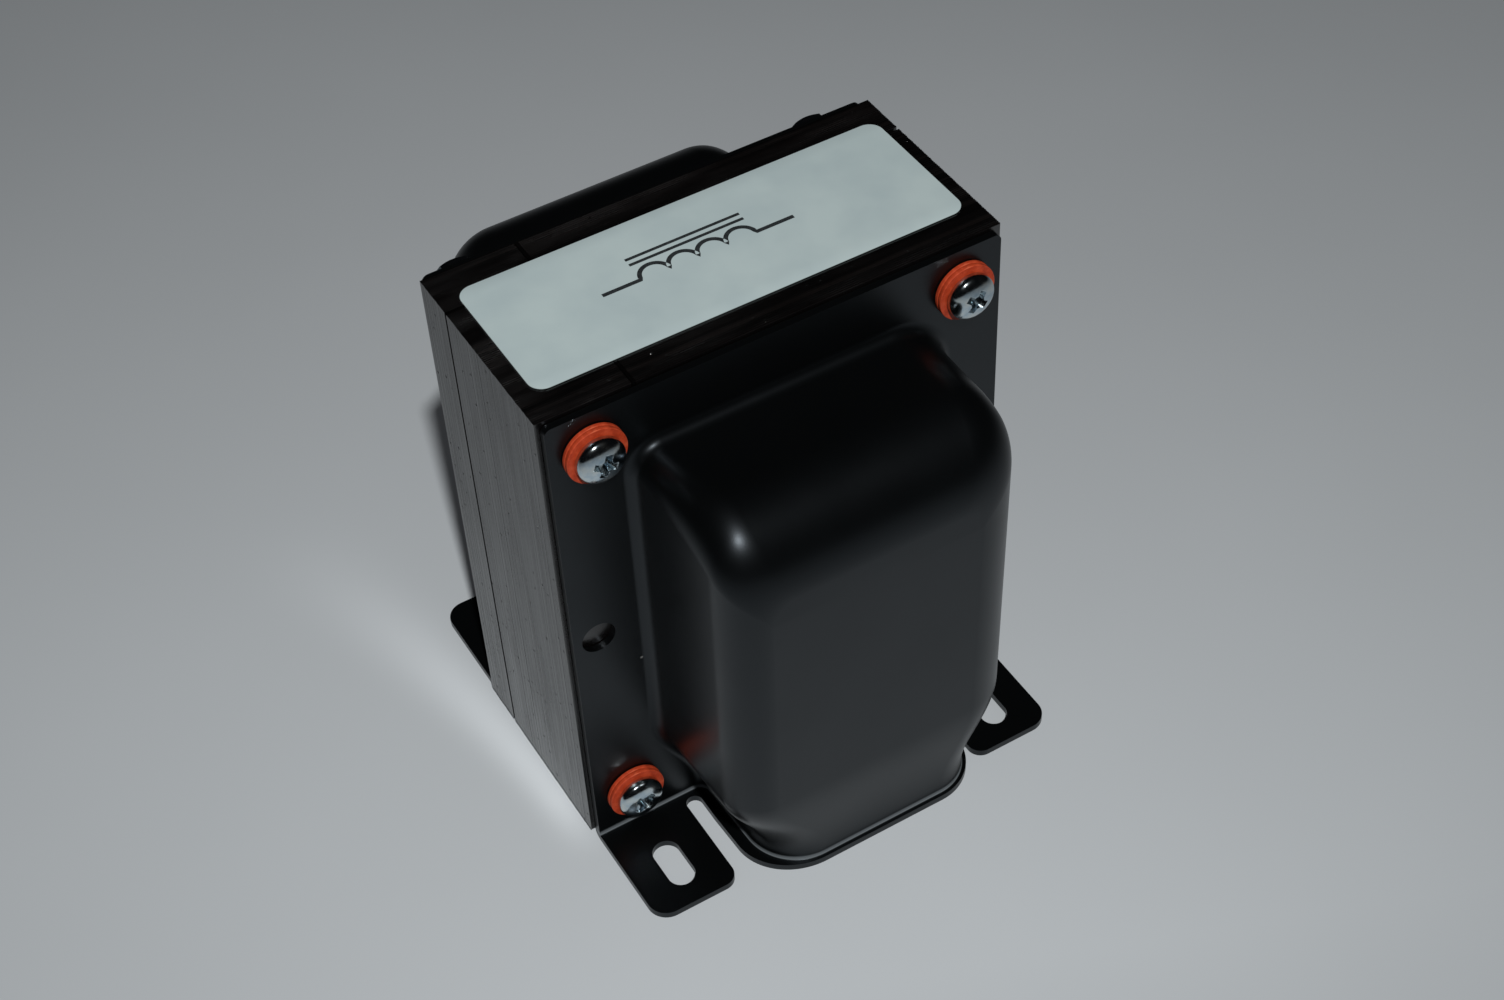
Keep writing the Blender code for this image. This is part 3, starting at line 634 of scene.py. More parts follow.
def label_ink():
    material, tree = new_material("label_ink", (0.012, 0.014, 0.015), 0.5)
    wear = noise_of(tree, object_place(tree), 1100, 4.0, 0.7)
    vary(tree, ramp_of(tree, wear, [(0.30, (0.010, 0.012, 0.013)), (0.75, (0.028, 0.032, 0.034))]))
    return material


def board(name, dark, pale, scale, stretch):
    """Pressed board or paper with fibres along one way."""
    material, tree = new_material(name, pale, 0.75)
    fibres = noise_of(tree, object_place(tree, stretch), scale, 5.0, 0.65)
    colour = ramp_of(tree, fibres, [(0.3, dark), (0.7, pale)])
    roughness = range_of(tree, fibres, 0.3, 0.7, 0.6, 0.85)
    vary(tree, colour, roughness, bump_of(tree, fibres, 0.00005, 0.7))
    return material


def enamelled_wire():
    """Turns of enamelled copper, wound about X, as a fine ridge pattern with painted shade in the
    grooves between turns.
    """
    material, tree = new_material("enamelled_wire", (0.42, 0.12, 0.04), 0.25, {"Metallic": 0.85})
    values = {"Scale": 330.0, "Distortion": 0.6, "Detail": 1.0}
    waves = add_node(tree, "ShaderNodeTexWave", values, wave_type="BANDS", bands_direction="X")
    tree.links.new(object_place(tree), waves.inputs["Vector"])
    ridges = waves.outputs["Fac"]
    # Painted shade: the colour darkens into the grooves between the turns, following the ridges' bump
    colour = ramp_of(tree, ridges, [(0.1, (0.10, 0.02, 0.008)), (0.6, (0.50, 0.16, 0.05))])
    vary(tree, colour, normal=bump_of(tree, ridges, 0.0003, 0.9))
    return material


# End bells


def neck_share(height):
    """How far the pocket has drawn in at a height: 1 at its foot, 0 above the neck."""
    return 1 - smooth_step((height - NECK_FOOT) / (NECK_HEAD - NECK_FOOT))


def pocket_section(depth, nose_radius):
    """The wall's section from flange to front face, as (inset, depth, normal inset, normal depth)."""
    section = []
    for step in range(ROOT_STEPS + 1):
        angle = (math.pi / 2 - POCKET_DRAFT) * step / ROOT_STEPS
        across, along = math.sin(angle), math.cos(angle)
        section.append((ROOT_RADIUS * (across - 1), ROOT_RADIUS * (1 - along), -across, along))
    wall_foot = section[-1]
    wall_end = depth - nose_radius * (1 - math.sin(POCKET_DRAFT))
    drift = (wall_end - wall_foot[1]) * math.tan(POCKET_DRAFT)
    for step in range(1, WALL_STEPS):
        share = step / WALL_STEPS
        across, along = math.cos(POCKET_DRAFT), math.sin(POCKET_DRAFT)
        inset = wall_foot[0] + drift * share
        section.append((inset, wall_foot[1] + (wall_end - wall_foot[1]) * share, -across, along))
    nose_inset = wall_foot[0] + drift + nose_radius * math.cos(POCKET_DRAFT)
    for step in range(NOSE_STEPS + 1):
        angle = POCKET_DRAFT + (math.pi / 2 - POCKET_DRAFT) * step / NOSE_STEPS
        across, along = math.cos(angle), math.sin(angle)
        inset = nose_inset - nose_radius * across
        section.append((inset, depth - nose_radius * (1 - along), -across, along))
    return section


def inset_at(depth, nose_radius):
    """How far the skin lies within the pocket's wall at a depth, below a nose of a given radius."""
    root_end = ROOT_RADIUS * (1 - math.sin(POCKET_DRAFT))
    if depth < root_end:
        return ROOT_RADIUS * (math.sin(math.acos(1 - depth / ROOT_RADIUS)) - 1)
    wall_foot = ROOT_RADIUS * (math.cos(POCKET_DRAFT) - 1)
    wall_end = POCKET_DEPTH - nose_radius * (1 - math.sin(POCKET_DRAFT))
    if depth < wall_end:
        return wall_foot + (depth - root_end) * math.tan(POCKET_DRAFT)
    wall_inset = wall_foot + (wall_end - root_end) * math.tan(POCKET_DRAFT)
    nose_inset = wall_inset + nose_radius * math.cos(POCKET_DRAFT)
    along = 1 - (POCKET_DEPTH - depth) / nose_radius
    return nose_inset - nose_radius * math.sqrt(max(0, 1 - along * along))


def front_setback(height):
    """How far the front face lies behind its foremost line at a height, from its lean and its neck."""
    lean_top = POCKET_TOP - TOP_NOSE_RADIUS - LEFT_CORNERS[2]
    lean = (lean_top - height) / (lean_top - NECK_FOOT)
    return FRONT_LEAN * min(max(lean, 0), 1) + FRONT_NECK * neck_share(height)


def foot_half_width(side):
    """From the middle to the pocket's side wall at its foot."""
    return HALF_WIDTHS[side] - SIDE_NECKS[side]


def pocket_rows(side):
    """Rows up to the top corner, as (height, flare to the side, flare to the front), first the lip."""
    rows = [(SHEET, SIDE_LIPS[side] + LIP_TRIM, FRONT_LIP)]
    for step in range(BEND_STEPS + 1):
        angle = math.pi / 2 * step / BEND_STEPS
        flare = BEND_RADIUS * (1 - math.sin(angle))
        rows.append((SHEET + BEND_RADIUS * (1 - math.cos(angle)), flare, flare))
    bend_top = SHEET + BEND_RADIUS
    for step in range(1, FOOT_STEPS):
        rows.append((bend_top + (NECK_FOOT - bend_top) * step / FOOT_STEPS, 0, 0))
    for step in range(NECK_STEPS + 1):
        rows.append((NECK_FOOT + (NECK_HEAD - NECK_FOOT) * step / NECK_STEPS, 0, 0))
    return rows


def corner_radius(side, depth):
    """The top corner's radius at a depth: it swells towards the nose and shrinks again on the front."""
    foot, swell, front = CORNER_RADII[side]
    if depth < ROOT_RADIUS:
        return foot - min(inset_at(depth, TOP_NOSE_RADIUS), 0)
    if depth < CORNER_SWELL:
        return foot + (swell - foot) * smooth_step((depth - ROOT_RADIUS) / (CORNER_SWELL - ROOT_RADIUS))
    start, end = inset_at(CORNER_SWELL, TOP_NOSE_RADIUS), inset_at(POCKET_DEPTH, TOP_NOSE_RADIUS)
    share = (inset_at(depth, TOP_NOSE_RADIUS) - start) / (end - start)
    return swell + (front - swell) * smooth_step(share)


def pocket_rings(side):
    """Half of the pocket's outer skin, side -1 or 1: (x, y, z) points for each row, flange to front."""
    rings = []
    for height, side_flare, front_flare in pocket_rows(side):
        share = neck_share(height)
        half = HALF_WIDTHS[side] - SIDE_NECKS[side] * share
        nose = NOSE_RADII[side] + (FOOT_NOSE_RADII[side] - NOSE_RADII[side]) * share
        ring = []
        section = pocket_section(POCKET_DEPTH - front_setback(height), nose)
        for inset, depth, outward, forward in section:
            x = side * (half - inset - outward * side_flare)
            ring.append((x, -(FLANGE_FACE + depth + forward * front_flare), height))
        rings.append(ring)
    side_section = pocket_section(POCKET_DEPTH, NOSE_RADII[side])
    top_section = pocket_section(POCKET_DEPTH, TOP_NOSE_RADIUS)
    for step in range(POCKET_CORNER_STEPS + 1):
        angle = math.pi / 2 * step / POCKET_CORNER_STEPS
        turn = smooth_step(step / POCKET_CORNER_STEPS)
        ring = []
        for (_, side_depth, _, _), (_, top_depth, _, _) in zip(side_section, top_section):
            depth = side_depth + (top_depth - side_depth) * turn
            radius = corner_radius(side, depth)
            x = HALF_WIDTHS[side] - inset_at(depth, NOSE_RADII[side]) - radius * (1 - math.cos(angle))
            z = POCKET_TOP - inset_at(depth, TOP_NOSE_RADIUS) - radius * (1 - math.sin(angle))
            ring.append((side * x, -(FLANGE_FACE + depth), z))
        rings.append(ring)
    middle = [(0, -(FLANGE_FACE + depth), POCKET_TOP - inset) for inset, depth, _, _ in top_section]
    return rings + [middle]


def relief_width(side):
    """The gap between a foot and the lip of the pocket beside it."""
    return FOOT_INNER - (foot_half_width(side) + SIDE_LIPS[side])


def add_half_bell(work, side):
    """Half of the bell's outer skin, open at x = 0, with the foot still joined to the lip."""
    # Side wall, corner, top wall and their noses
    rings = [[work.verts.new(point) for point in ring] for ring in pocket_rings(side)]
    for lower, upper in zip(rings, rings[1:]):
        for column in range(len(lower) - 1):
            work.faces.new((lower[column], upper[column], upper[column + 1], lower[column + 1]))

    # Front face, in strips up to the corner and in one piece above
    side_rows = len(pocket_rows(side)) + 1
    middle = [work.verts.new((0, ring[-1].co.y, ring[-1].co.z)) for ring in rings[:side_rows]]
    for row in range(side_rows - 1):
        work.faces.new((rings[row][-1], rings[row + 1][-1], middle[row + 1], middle[row]))
    crown = [ring[-1] for ring in rings[side_rows - 1 :]]
    work.faces.new(crown + [middle[-1]])

    # Bend between the flange and the foot
    bend_rows = range(1, BEND_STEPS + 2)
    outer = {}
    for row in bend_rows:
        root = rings[row][0].co
        outer[row] = work.verts.new((side * FLANGE_HALF_WIDTH, root.y, root.z))
    for row in list(bend_rows)[:-1]:
        work.faces.new((outer[row], outer[row + 1], rings[row + 1][0], rings[row][0]))

    # Flange
    corner = (FLANGE_HALF_WIDTH - FLANGE_CORNER, FLANGE_TOP - FLANGE_CORNER)
    flange = [outer[BEND_STEPS + 1]]
    for x, z in arc(corner, FLANGE_CORNER, 0, 90, CORNER_STEPS):
        flange.append(work.verts.new((side * x, -FLANGE_FACE, z)))
    flange.append(work.verts.new((0, -FLANGE_FACE, FLANGE_TOP)))
    flange += [ring[0] for ring in reversed(rings[BEND_STEPS + 1 :])]
    work.faces.new(flange)

    # Foot and its half of the gap beside the lip
    tip = FLANGE_FACE + FOOT_LENGTH
    relief_middle = FOOT_INNER - relief_width(side) / 2
    relief_start = -rings[0][ROOT_STEPS + 1].co.y
    outline = [(relief_middle, relief_start), (relief_middle, tip - FOOT_INNER_CORNER)]
    inside = (FOOT_INNER + FOOT_INNER_CORNER, tip - FOOT_INNER_CORNER)
    outline += arc(inside, FOOT_INNER_CORNER, 180, 90, CORNER_STEPS)
    outside = (FLANGE_HALF_WIDTH - FOOT_OUTER_CORNER, tip - FOOT_OUTER_CORNER)
    outline += arc(outside, FOOT_OUTER_CORNER, 90, 0, CORNER_STEPS)
    foot = [outer[1], rings[1][0]] + rings[0][: ROOT_STEPS + 2]
    foot += [work.verts.new((side * x, -y, SHEET)) for x, y in outline]
    work.faces.new(foot)


def bell_skin():
    """Both halves of the outer skin as one mesh whose faces look away from the core."""
    work = bmesh.new()
    for side in (-1, 1):
        add_half_bell(work, side)
    bmesh.ops.remove_doubles(work, verts=work.verts, dist=WELD)
    bmesh.ops.recalc_face_normals(work, faces=work.faces)
    if sum(face.normal.y * face.calc_area() for face in work.faces) > 0:
        bmesh.ops.reverse_faces(work, faces=work.faces)
    mesh = bpy.data.meshes.new("bell_skin")
    work.to_mesh(mesh)
    work.free()
    return mesh


def dented(mesh):
    """A copy of the bell with the small dent at the left foot of its pocket."""
    made = mesh.copy()
    inward, middle = Vector(DENT_INWARD), Vector(DENT_PLACE)
    for vert in made.vertices:
        distance = (vert.co - middle).length / DENT_SPREAD
        if distance < DENT_SPREADS_REACHED:
            vert.co += inward * DENT_DEPTH * math.exp(-distance * distance)
    return made


def bell_cutters():
    """Side holes, foot slots and the relief gaps between the feet and the lip."""
    holes = []
    through = SHEET + 2 * CUT_MARGIN
    flange_middle = -(FLANGE_BACK + SHEET / 2)
    for side in (-1, 1):
        place = (side * (FLANGE_HALF_WIDTH - SIDE_HOLE_TO_FLANGE_EDGE), flange_middle, CORE_MIDDLE)
        holes.append((circle(SIDE_HOLE / 2), place, FACING_FRONT))
        place = (side * FOOT_MIDDLE, -(FLANGE_FACE + FOOT_SLOT_FROM_FLANGE), SHEET / 2)
        holes.append((obround(FOOT_SLOT_WIDTH, FOOT_SLOT_LENGTH), place, (0, 0, 0)))
        width = relief_width(side)
        length = FOOT_LENGTH + CUT_MARGIN - RELIEF_START + width / 2
        place = (side * (FOOT_INNER - width / 2), -(FLANGE_FACE + RELIEF_START + length / 2), SHEET / 2)
        holes.append((obround(width, length), place, (0, 0, 0)))
    cutters = []
    for outline, place, turn in holes:
        cutters.append(link("cutter", plate_mesh("cutter", [outline], through), place, turn))
    return cutters


def build_bells(paint):
    bell = link("bell", bell_skin())
    sheet = bell.modifiers.new("sheet", "SOLIDIFY")
    sheet.thickness = SHEET
    sheet.offset = -1
    sheet.use_even_offset = True
    cutters = bell_cutters()
    cut_all(bell, cutters)
    mesh = as_mesh(bell, "end_bell", sharp=40)
    remove_all(cutters)
    for name, shape, turn in (("front_bell", dented(mesh), 0), ("rear_bell", mesh, math.pi)):
        made = piece(name + "_pressing", shape, paint, name, rotation=(0, 0, turn))
        round_edges(made, "rounded_edges", BELL_EDGE, 50)
        flat = made.modifiers.new("flat_faces", "WEIGHTED_NORMAL")
        flat.keep_sharp = True


# Core


def e_outline():
    """The E sheet, its legs to the left: points anticlockwise, as for every sheet."""
    right, outside = CORE_WIDTH / 2, CORE_HEIGHT / 2
    window, tongue = TONGUE / 2 + WINDOW_HEIGHT, TONGUE / 2
    lower = [(right, -outside), (LEG_TIP, -outside), (LEG_TIP, -window), (LEG_ROOT, -window)]
    lower += [(LEG_ROOT, -tongue), (LEG_TIP, -tongue)]
    return [(x, -z) for x, z in lower] + lower[::-1]


def i_outline():
    left, right, half = -CORE_WIDTH / 2, -CORE_WIDTH / 2 + BAR_WIDTH, CORE_HEIGHT / 2
    return [(left, -half), (right, -half), (right, half), (left, half)]


def inward_ways(outline):
    """How each corner of an outline moves when both of its edges go inwards by one unit."""
    ways = []
    for index, (x, z) in enumerate(outline):
        before, after = outline[index - 1], outline[(index + 1) % len(outline)]
        turn = (x - before[0]) * (after[1] - z) - (z - before[1]) * (after[0] - x)
        along_in = Vector((x - before[0], z - before[1])).normalized()
        along_out = Vector((after[0] - x, after[1] - z)).normalized()
        ways.append((along_out - along_in) * (1 if turn > 0 else -1))
    return ways


def stack_mesh(name, outline, front, depth, sheets, chance):
    """A pack of sheets along +Y, each with chamfers, a small step of its own and a tone.

    The first sheet of a rear pack is set back, which makes the groove at the split.
    """
    verts, faces, tones = [], [], []
    ways = inward_ways(outline)
    count = len(outline)
    thickness = depth / sheets
    for sheet in range(sheets):
        step_x = chance.uniform(-1, 1) * SHEET_STEP
        step_z = chance.uniform(-1, 1) * SHEET_STEP - SHEET_STEP
        tone = chance.random()
        groove = SPLIT_GROOVE if sheet == 0 and front > 0 else 0
        start = front + sheet * thickness
        for y, inset in (
            (start, groove + SHEET_CHAMFER),
            (start + SHEET_CHAMFER, groove),
            (start + thickness - SHEET_CHAMFER, groove),
            (start + thickness, groove + SHEET_CHAMFER),
        ):
            for (x, z), way in zip(outline, ways):
                height = CORE_MIDDLE + z + step_z + way.y * inset
                verts.append((x + step_x + way.x * inset, y, height))
        first = sheet * 4 * count
        for ring in range(3 if sheet == sheets - 1 else 4):
            for index in range(count):
                a = first + ring * count + index
                b = first + ring * count + (index + 1) % count
                faces.append((a, b, b + count, a + count))
                tones.append(tone if ring < 3 else 0.0)
    last = len(verts) - count
    faces.append(tuple(range(count)))
    faces.append(tuple(range(last, last + count)))
    tones += [0.5, 0.5]
    mesh = bpy.data.meshes.new(name)
    mesh.from_pydata(verts, [], faces)
    attribute = mesh.attributes.new("sheet_tone", "FLOAT", "FACE")
    attribute.data.foreach_set("value", tones)
    work = bmesh.new()
    work.from_mesh(mesh)
    bmesh.ops.recalc_face_normals(work, faces=work.faces)
    work.to_mesh(mesh)
    work.free()
    return mesh


def build_core(varnish):
    chance = random.Random(SHEET_SEED)
    packs = (
        ("front", -CORE_DEPTH / 2, FRONT_PACK_DEPTH, SHEETS_IN_FRONT_PACK),
        ("rear", CORE_DEPTH / 2 - REAR_PACK_DEPTH, REAR_PACK_DEPTH, SHEETS_IN_REAR_PACK),
    )
    for pack, front, depth, sheets in packs:
        for kind, outline in (("e", e_outline()), ("i", i_outline())):
            node = f"{kind}_laminations_{pack}"
            mesh = stack_mesh(node + "_sheets", outline, front, depth, sheets, chance)
            piece(node + "_sheets", mesh, varnish, node)


# Fasteners


def screw_length():
    """From under the head to the tip."""
    front = FRONT_FIBRE_WASHERS * (FIBRE_WASHER_THICKNESS + SEAT_GAP) + SEAT_GAP
    rear = FIBRE_WASHER_THICKNESS + LOCK_WASHER_THICKNESS + NUT_THICKNESS + 3 * SEAT_GAP
    return front + 2 * FLANGE_FACE + rear + SCREW_PAST_NUT


def recess_wing(spin):
    """One wing of the cross recess, narrower at the bottom."""
    mesh = bpy.data.meshes.new("wing")
    work = bmesh.new()
    bmesh.ops.create_cube(work, size=1)
    for vert in work.verts:
        end = "floor" if vert.co.z < 0 else "top"
        vert.co.x *= RECESS_REACH * RECESS_REACH_SHARES[end]
        vert.co.y *= RECESS_WIDTH * RECESS_WIDTH_SHARES[end]
        vert.co.z = HEAD_HEIGHT + (CUT_MARGIN if end == "top" else -RECESS_DEPTH)
    work.to_mesh(mesh)
    work.free()
    return link("wing", mesh, rotation=(0, 0, spin))


def recess_cone():
    """The round middle of the cross recess."""
    top = HEAD_HEIGHT + CUT_MARGIN
    floor = HEAD_HEIGHT - RECESS_DEPTH
    profile = [(0, top), (RECESS_CONE_RADII["top"], top)]
    profile.append((RECESS_CONE_RADII["floor"], floor - RECESS_CONE_DROPS["rim"]))
    profile.append((0, floor - RECESS_CONE_DROPS["point"]))
    return link("cone", turned_mesh("cone", profile, CONE_STEPS))


def screw_head_mesh():
    """A cross-recessed pan head with its seat at z = 0 and the plain part of its shank."""
    head, shank = HEAD_DIAMETER / 2, SCREW_DIAMETER / 2
    profile = [(0, HEAD_HEIGHT)]
    for x, z in arc((0, 0), 1, *HEAD_DOME_ANGLES, HEAD_STEPS):
        profile.append((head * x, HEAD_RIM + (HEAD_HEIGHT - HEAD_RIM) * z))
    foot = HEAD_FOOT_RADIUS
    profile += [(head, HEAD_RIM), (head, foot)] + arc((head - foot, foot), foot, 0, -90, 5)[1:]
    thread_start = THREAD_SHOWN - screw_length()
    profile += [(shank, 0), (shank, thread_start), (0, thread_start)]
    screw = link("screw", turned_mesh("screw", profile))
    cutters = [recess_wing(0), recess_wing(math.pi / 2), recess_cone()]
    cut_all(screw, cutters)
    round_edges(screw, "worn_edges", HEAD_EDGE, 40)
    mesh = as_mesh(screw, "screw_head")
    remove_all(cutters)
    return mesh


def thread_mesh():
    """The threaded end of the screw, as a grid that winds round it."""
    radius = SCREW_DIAMETER / 2
    tip = -screw_length()
    steps = THREAD_STEPS
    rows = int(THREAD_SHOWN / THREAD_PITCH * THREAD_ROWS_PER_TURN)
    verts, faces = [], []
    for row in range(rows + 1):
        for column in range(steps):
            angle = 2 * math.pi * column / steps
            height = tip + THREAD_SHOWN * row / rows
            wave = (height / THREAD_PITCH - column / steps) % 1
            depth = THREAD_DEPTH * min(1, abs(2 * wave - 1) * THREAD_STEEPNESS)
            taper = 1 - THREAD_END_TAPER * (1 - smooth_step((height - tip) / THREAD_END_LENGTH))
            reach = (radius - depth) * taper
            verts.append((reach * math.cos(angle), reach * math.sin(angle), height))
    for row in range(rows):
        for column in range(steps):
            a, b = row * steps + column, row * steps + (column + 1) % steps
            faces.append((a, b, b + steps, a + steps))
    faces.append(tuple(reversed(range(steps))))
    faces.append(tuple(rows * steps + column for column in range(steps)))
    mesh = bpy.data.meshes.new("screw_thread")
    mesh.from_pydata(verts, [], faces)
    mesh.shade_smooth()
    mesh.set_sharp_from_angle(angle=math.radians(50))
    return mesh


def nut_mesh():
    """A hexagon nut with a plain bore and both outer edges chamfered round."""
    corner = NUT_ACROSS_FLATS / math.sqrt(3)
    bore = SCREW_DIAMETER / 2 + THREAD_CLEARANCE
    half = NUT_THICKNESS / 2
    outlines = [circle(corner, 6), circle(bore, BORE_STEPS)]
    nut = link("nut", plate_mesh("nut", outlines, NUT_THICKNESS))
    rim = corner + NUT_CHAMFER / 4
    slope = NUT_CHAMFER / (corner - NUT_ACROSS_FLATS / 2)
    drop = slope * (rim - NUT_ACROSS_FLATS / 2)
    profile = [(0, half), (NUT_ACROSS_FLATS / 2, half), (rim, half - drop)]
    profile += [(rim, drop - half), (NUT_ACROSS_FLATS / 2, -half), (0, -half)]
    chamfer = link("chamfer", turned_mesh("chamfer", profile))
    shape = nut.modifiers.new("chamfer", "BOOLEAN")
    shape.operation = "INTERSECT"
    shape.object = chamfer
    round_edges(nut, "worn_edges", NUT_EDGE, 25)
    mesh = as_mesh(nut, "nut", sharp=30)
    remove_all([chamfer])
    return mesh


def lock_washer_mesh():
    """A split ring."""
    split = math.degrees(LOCK_WASHER_SPLIT) / 2
    inner = SCREW_DIAMETER / 2 + THREAD_CLEARANCE
    outline = arc((0, 0), LOCK_WASHER_OUTER / 2, split, 360 - split, CIRCLE_STEPS)
    outline += arc((0, 0), inner, 360 - split, split, CIRCLE_STEPS)
    return plate_mesh("lock_washer", [outline], LOCK_WASHER_THICKNESS, LOCK_WASHER_EDGE)


def build_fasteners(zinc, fibre):
    head, thread, nut, lock = screw_head_mesh(), thread_mesh(), nut_mesh(), lock_washer_mesh()
    rings = [circle(FIBRE_WASHER_OUTER / 2), circle(FIBRE_WASHER_INNER / 2)]
    washer = plate_mesh("fibre_washer", rings, FIBRE_WASHER_THICKNESS, FIBRE_WASHER_EDGE)
    for corner, (sx, sz) in CORNERS.items():
        x, z = sx * BOLT_X, CORE_MIDDLE + sz * BOLT_Z
        seat = -FLANGE_FACE - SEAT_GAP
        for number in range(1, FRONT_FIBRE_WASHERS + 1):
            node = f"fibre_washer_{corner}_{number}"
            place = (x, seat - FIBRE_WASHER_THICKNESS / 2, z)
            piece(node + "_ring", washer, fibre, node, place, FACING_FRONT)
            seat -= FIBRE_WASHER_THICKNESS + SEAT_GAP
        turn = (math.pi / 2, math.radians(RECESS_TURNS[corner]), 0)
        place = (x, seat, z)
        piece(f"screw_{corner}_head", head, zinc, "screw_" + corner, place, turn)
        piece(f"screw_{corner}_thread", thread, zinc, None, place, turn)

        seat = FLANGE_FACE + SEAT_GAP
        node = "rear_fibre_washer_" + corner
        place = (x, seat + FIBRE_WASHER_THICKNESS / 2, z)
        piece(node + "_ring", washer, fibre, node, place, FACING_FRONT)
        seat += FIBRE_WASHER_THICKNESS + SEAT_GAP
        node = "lock_washer_" + corner
        place = (x, seat + LOCK_WASHER_THICKNESS / 2, z)
        piece(node + "_ring", lock, zinc, node, place, FACING_FRONT)
        seat += LOCK_WASHER_THICKNESS + SEAT_GAP
        node = "nut_" + corner
        place = (x, seat + NUT_THICKNESS / 2, z)
        piece(node + "_hexagon", nut, zinc, node, place, FACING_FRONT)


# Label


def ribbon(points, width):
    """The outline of a line of a given width through points, as one closed polygon."""
    left, right = [], []
    for index, (x, y) in enumerate(points):
        before = points[max(index - 1, 0)]
        after = points[min(index + 1, len(points) - 1)]
        along = Vector((after[0] - before[0], after[1] - before[1])).normalized()
        left.append((x - along.y * width / 2, y + along.x * width / 2))
        right.append((x + along.y * width / 2, y - along.x * width / 2))
    return left + right[::-1]


def build_label(stock, ink):
    top = CORE_TOP + LABEL_GAP + LABEL_THICKNESS / 2
    outline = rounded_rectangle(LABEL_LENGTH, LABEL_WIDTH, LABEL_CORNER)
    mesh = plate_mesh("label_film", [outline], LABEL_THICKNESS, LABEL_EDGE)
    piece("label_film", mesh, stock, "label", (LABEL_SHIFT, 0, top))

    above = CORE_TOP + LABEL_GAP + LABEL_THICKNESS + SYMBOL_THICKNESS / 2
    loops = [(SYMBOL_ENDS[0], 0)]
    for number in range(SYMBOL_TURNS):
        centre = (SYMBOL_FIRST_TURN + 2 * SYMBOL_TURN_RADIUS * number, 0)
        loops += arc(centre, SYMBOL_TURN_RADIUS, 180, 0, SYMBOL_STEPS)[(1 if number else 0) :]
    loops.append((SYMBOL_ENDS[1], 0))
    shapes = [("label_symbol_coil", ribbon(loops, SYMBOL_LINE))]
    for number, height in enumerate(SYMBOL_BAR_HEIGHTS):
        bar = ribbon([(end, height) for end in SYMBOL_BAR_ENDS], SYMBOL_BAR_LINE)
        shapes.append((f"label_symbol_core_{number + 1}", bar))
    for name, outline in shapes:
        mesh = plate_mesh(name, [outline], SYMBOL_THICKNESS)
        piece(name, mesh, ink, None, (LABEL_SHIFT, 0, above))


# Hidden pieces keep their solids and get their own finish


def dress_solids(varnish):
    pressboard = board("pressboard", (0.30, 0.20, 0.10), (0.50, 0.37, 0.21), 260, (1, 1, 6))
    paper = board("coil_paper", (0.16, 0.09, 0.035), (0.34, 0.22, 0.10), 120, (1, 8, 8))
    wedge = board("wedge_board", (0.36, 0.24, 0.12), (0.56, 0.42, 0.25), 200, (6, 1, 1))
    finishes = {
        "gap_spacer": varnish,
        "coil_former": pressboard,
        "winding": enamelled_wire(),
        "coil_wrap": paper,
        "coil_wedge_upper": wedge,
        "coil_wedge_lower": wedge,
    }
    for corner in CORNERS:
        finishes["bolt_sleeve_" + corner] = pressboard
    for node, finish in finishes.items():
        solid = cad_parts[node]
        solid.data.materials.clear()
        solid.data.materials.append(finish)


# Floor, light and camera


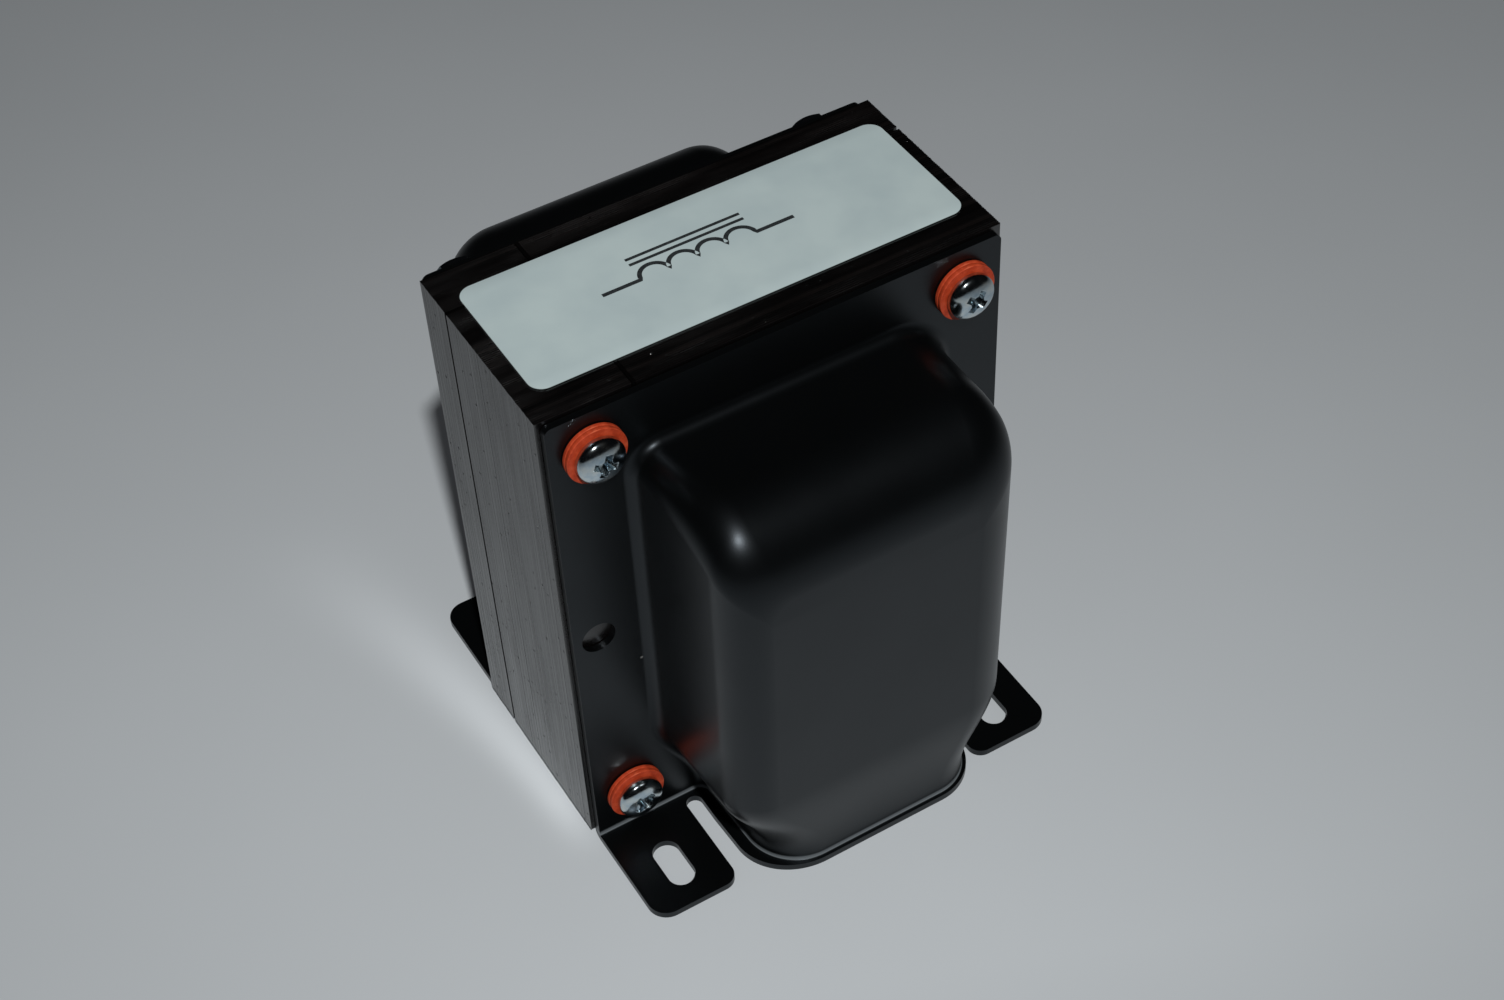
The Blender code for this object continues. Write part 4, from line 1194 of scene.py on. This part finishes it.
def floor_paper():
    """Pale paper with painted light: a painted pool of light brightest in front of the part, painted
    shade towards the camera, and a painted streak of the light that the core's side throws on it.
    """
    material, tree = new_material("floor_paper", FLOOR_COLOUR, 0.7, LOW_SHEEN)
    place = object_place(tree)
    axes = axes_of(tree, place)
    x, y = axes["X"], axes["Y"]

    # Painted light: a pool of light brightest at one place and falling off around it, never below a
    # least level
    across = units_past(tree, x, FLOOR_PAINTED_LIGHT_CENTRE[0], FLOOR_PAINTED_LIGHT_SPREAD[0])
    along = units_past(tree, y, FLOOR_PAINTED_LIGHT_CENTRE[1], FLOOR_PAINTED_LIGHT_SPREAD[1])
    square = math_of(tree, math_of(tree, across, 2, "POWER"), math_of(tree, along, 2, "POWER"))
    level = math_of(tree, math_of(tree, square, 1), -FLOOR_PAINTED_LIGHT_FALL, "POWER")
    # Painted shade: the floor darker towards the camera, down to a share of its level
    painted_shade = math_of(tree, product_of(tree, x, FLOOR_PAINTED_SHADE_SLOPE), y)
    painted_shade = range_of(tree, painted_shade, *FLOOR_PAINTED_SHADE_EDGE, FLOOR_PAINTED_SHADE_SHARE, 1)
    level = product_of(tree, level, painted_shade)
    level = math_of(tree, level, FLOOR_PAINTED_LIGHT_LEAST, "MAXIMUM")

    # Painted light: the streak of light that the core's glossy side throws on the floor beside it
    bend = units_past(tree, y, STREAK_START, STREAK_END - STREAK_START)
    bend = math_of(tree, math_of(tree, bend, 0, "MAXIMUM"), STREAK_BEND, "POWER")
    ridge = math_of(tree, product_of(tree, bend, -STREAK_DRIFT), STREAK_X)
    width = math_of(tree, product_of(tree, bend, STREAK_WIDENING), STREAK_WIDTH)
    away = units_past(tree, x, ridge, width)
    falling = product_of(tree, math_of(tree, away, 2, "POWER"), -1)
    streak = math_of(tree, STREAK_BASE, falling, "POWER")
    rise = smooth_of(tree, y, STREAK_START + STREAK_RISE[0], STREAK_START + STREAK_RISE[1])
    streak = product_of(tree, streak, rise)
    fade = smooth_of(tree, y, STREAK_END, STREAK_START)
    streak = product_of(tree, product_of(tree, streak, fade), STREAK_STRENGTH)
    level = product_of(tree, level, math_of(tree, streak, 1))

    cloud = noise_of(tree, place, 6, 3.0, 0.5)
    level = product_of(tree, level, range_of(tree, cloud, 0.3, 0.7, 0.975, 1.025))
    colour = add_node(tree, "ShaderNodeVectorMath", operation="SCALE")
    colour.inputs[0].default_value = FLOOR_COLOUR
    tree.links.new(level, colour.inputs["Scale"])
    vary(tree, colour.outputs["Vector"])
    return material


def build_floor():
    mesh = bpy.data.meshes.new("floor")
    far = FLOOR_REACH
    corners = [(-far, -far, 0), (far, -far, 0), (far, far, 0), (-far, far, 0)]
    mesh.from_pydata(corners, [], [(0, 1, 2, 3)])
    floor = link("floor", mesh, (0, 0, -FLOOR_DROP))
    mesh.materials.append(floor_paper())


def add_lamp(name, power):
    data = bpy.data.lights.new(name, "AREA")
    data.shape = "DISK"
    data.size = LAMP_SIZE
    data.energy = power
    lamp = link(name, data, LAMP_PLACE)
    lamp.rotation_euler = (Vector(LAMP_PLACE) - Vector(LAMP_AIM)).to_track_quat("Z", "Y").to_euler()
    return lamp


def build_light():
    add_lamp("key_lamp", KEY_POWER)
    fill = add_lamp("key_fill", FILL_POWER)
    fill.visible_glossy = False
    world = bpy.data.worlds.new("studio")
    world.use_nodes = True
    tree = world.node_tree
    background = tree.nodes["Background"]
    path = add_node(tree, "ShaderNodeLightPath")
    tone = mix_of(tree, path.outputs["Is Camera Ray"], ROOM_LIGHT, BACKDROP)
    tone = mix_of(tree, path.outputs["Is Glossy Ray"], tone, ROOM_GLOSS)
    tree.links.new(tone, background.inputs["Color"])
    bpy.context.scene.world = world


def build_camera():
    data = bpy.data.cameras.new("camera")
    data.sensor_width = CAMERA_SENSOR
    data.lens = CAMERA_LENS
    camera = link("camera", data)
    axes = Matrix((Vector(CAMERA_RIGHT), -Vector(CAMERA_DOWN), -Vector(CAMERA_FORWARD)))
    camera.matrix_world = axes.transposed().to_4x4()
    camera.location = CAMERA_PLACE
    bpy.context.scene.camera = camera


def main():
    build_bells(bell_paint())
    varnish = lamination_varnish()
    build_core(varnish)
    build_fasteners(zinc_plate(), red_fibre())
    build_label(label_stock(), label_ink())
    dress_solids(varnish)
    build_floor()
    build_light()
    build_camera()
    bpy.context.scene.view_settings.view_transform = "Standard"


main()
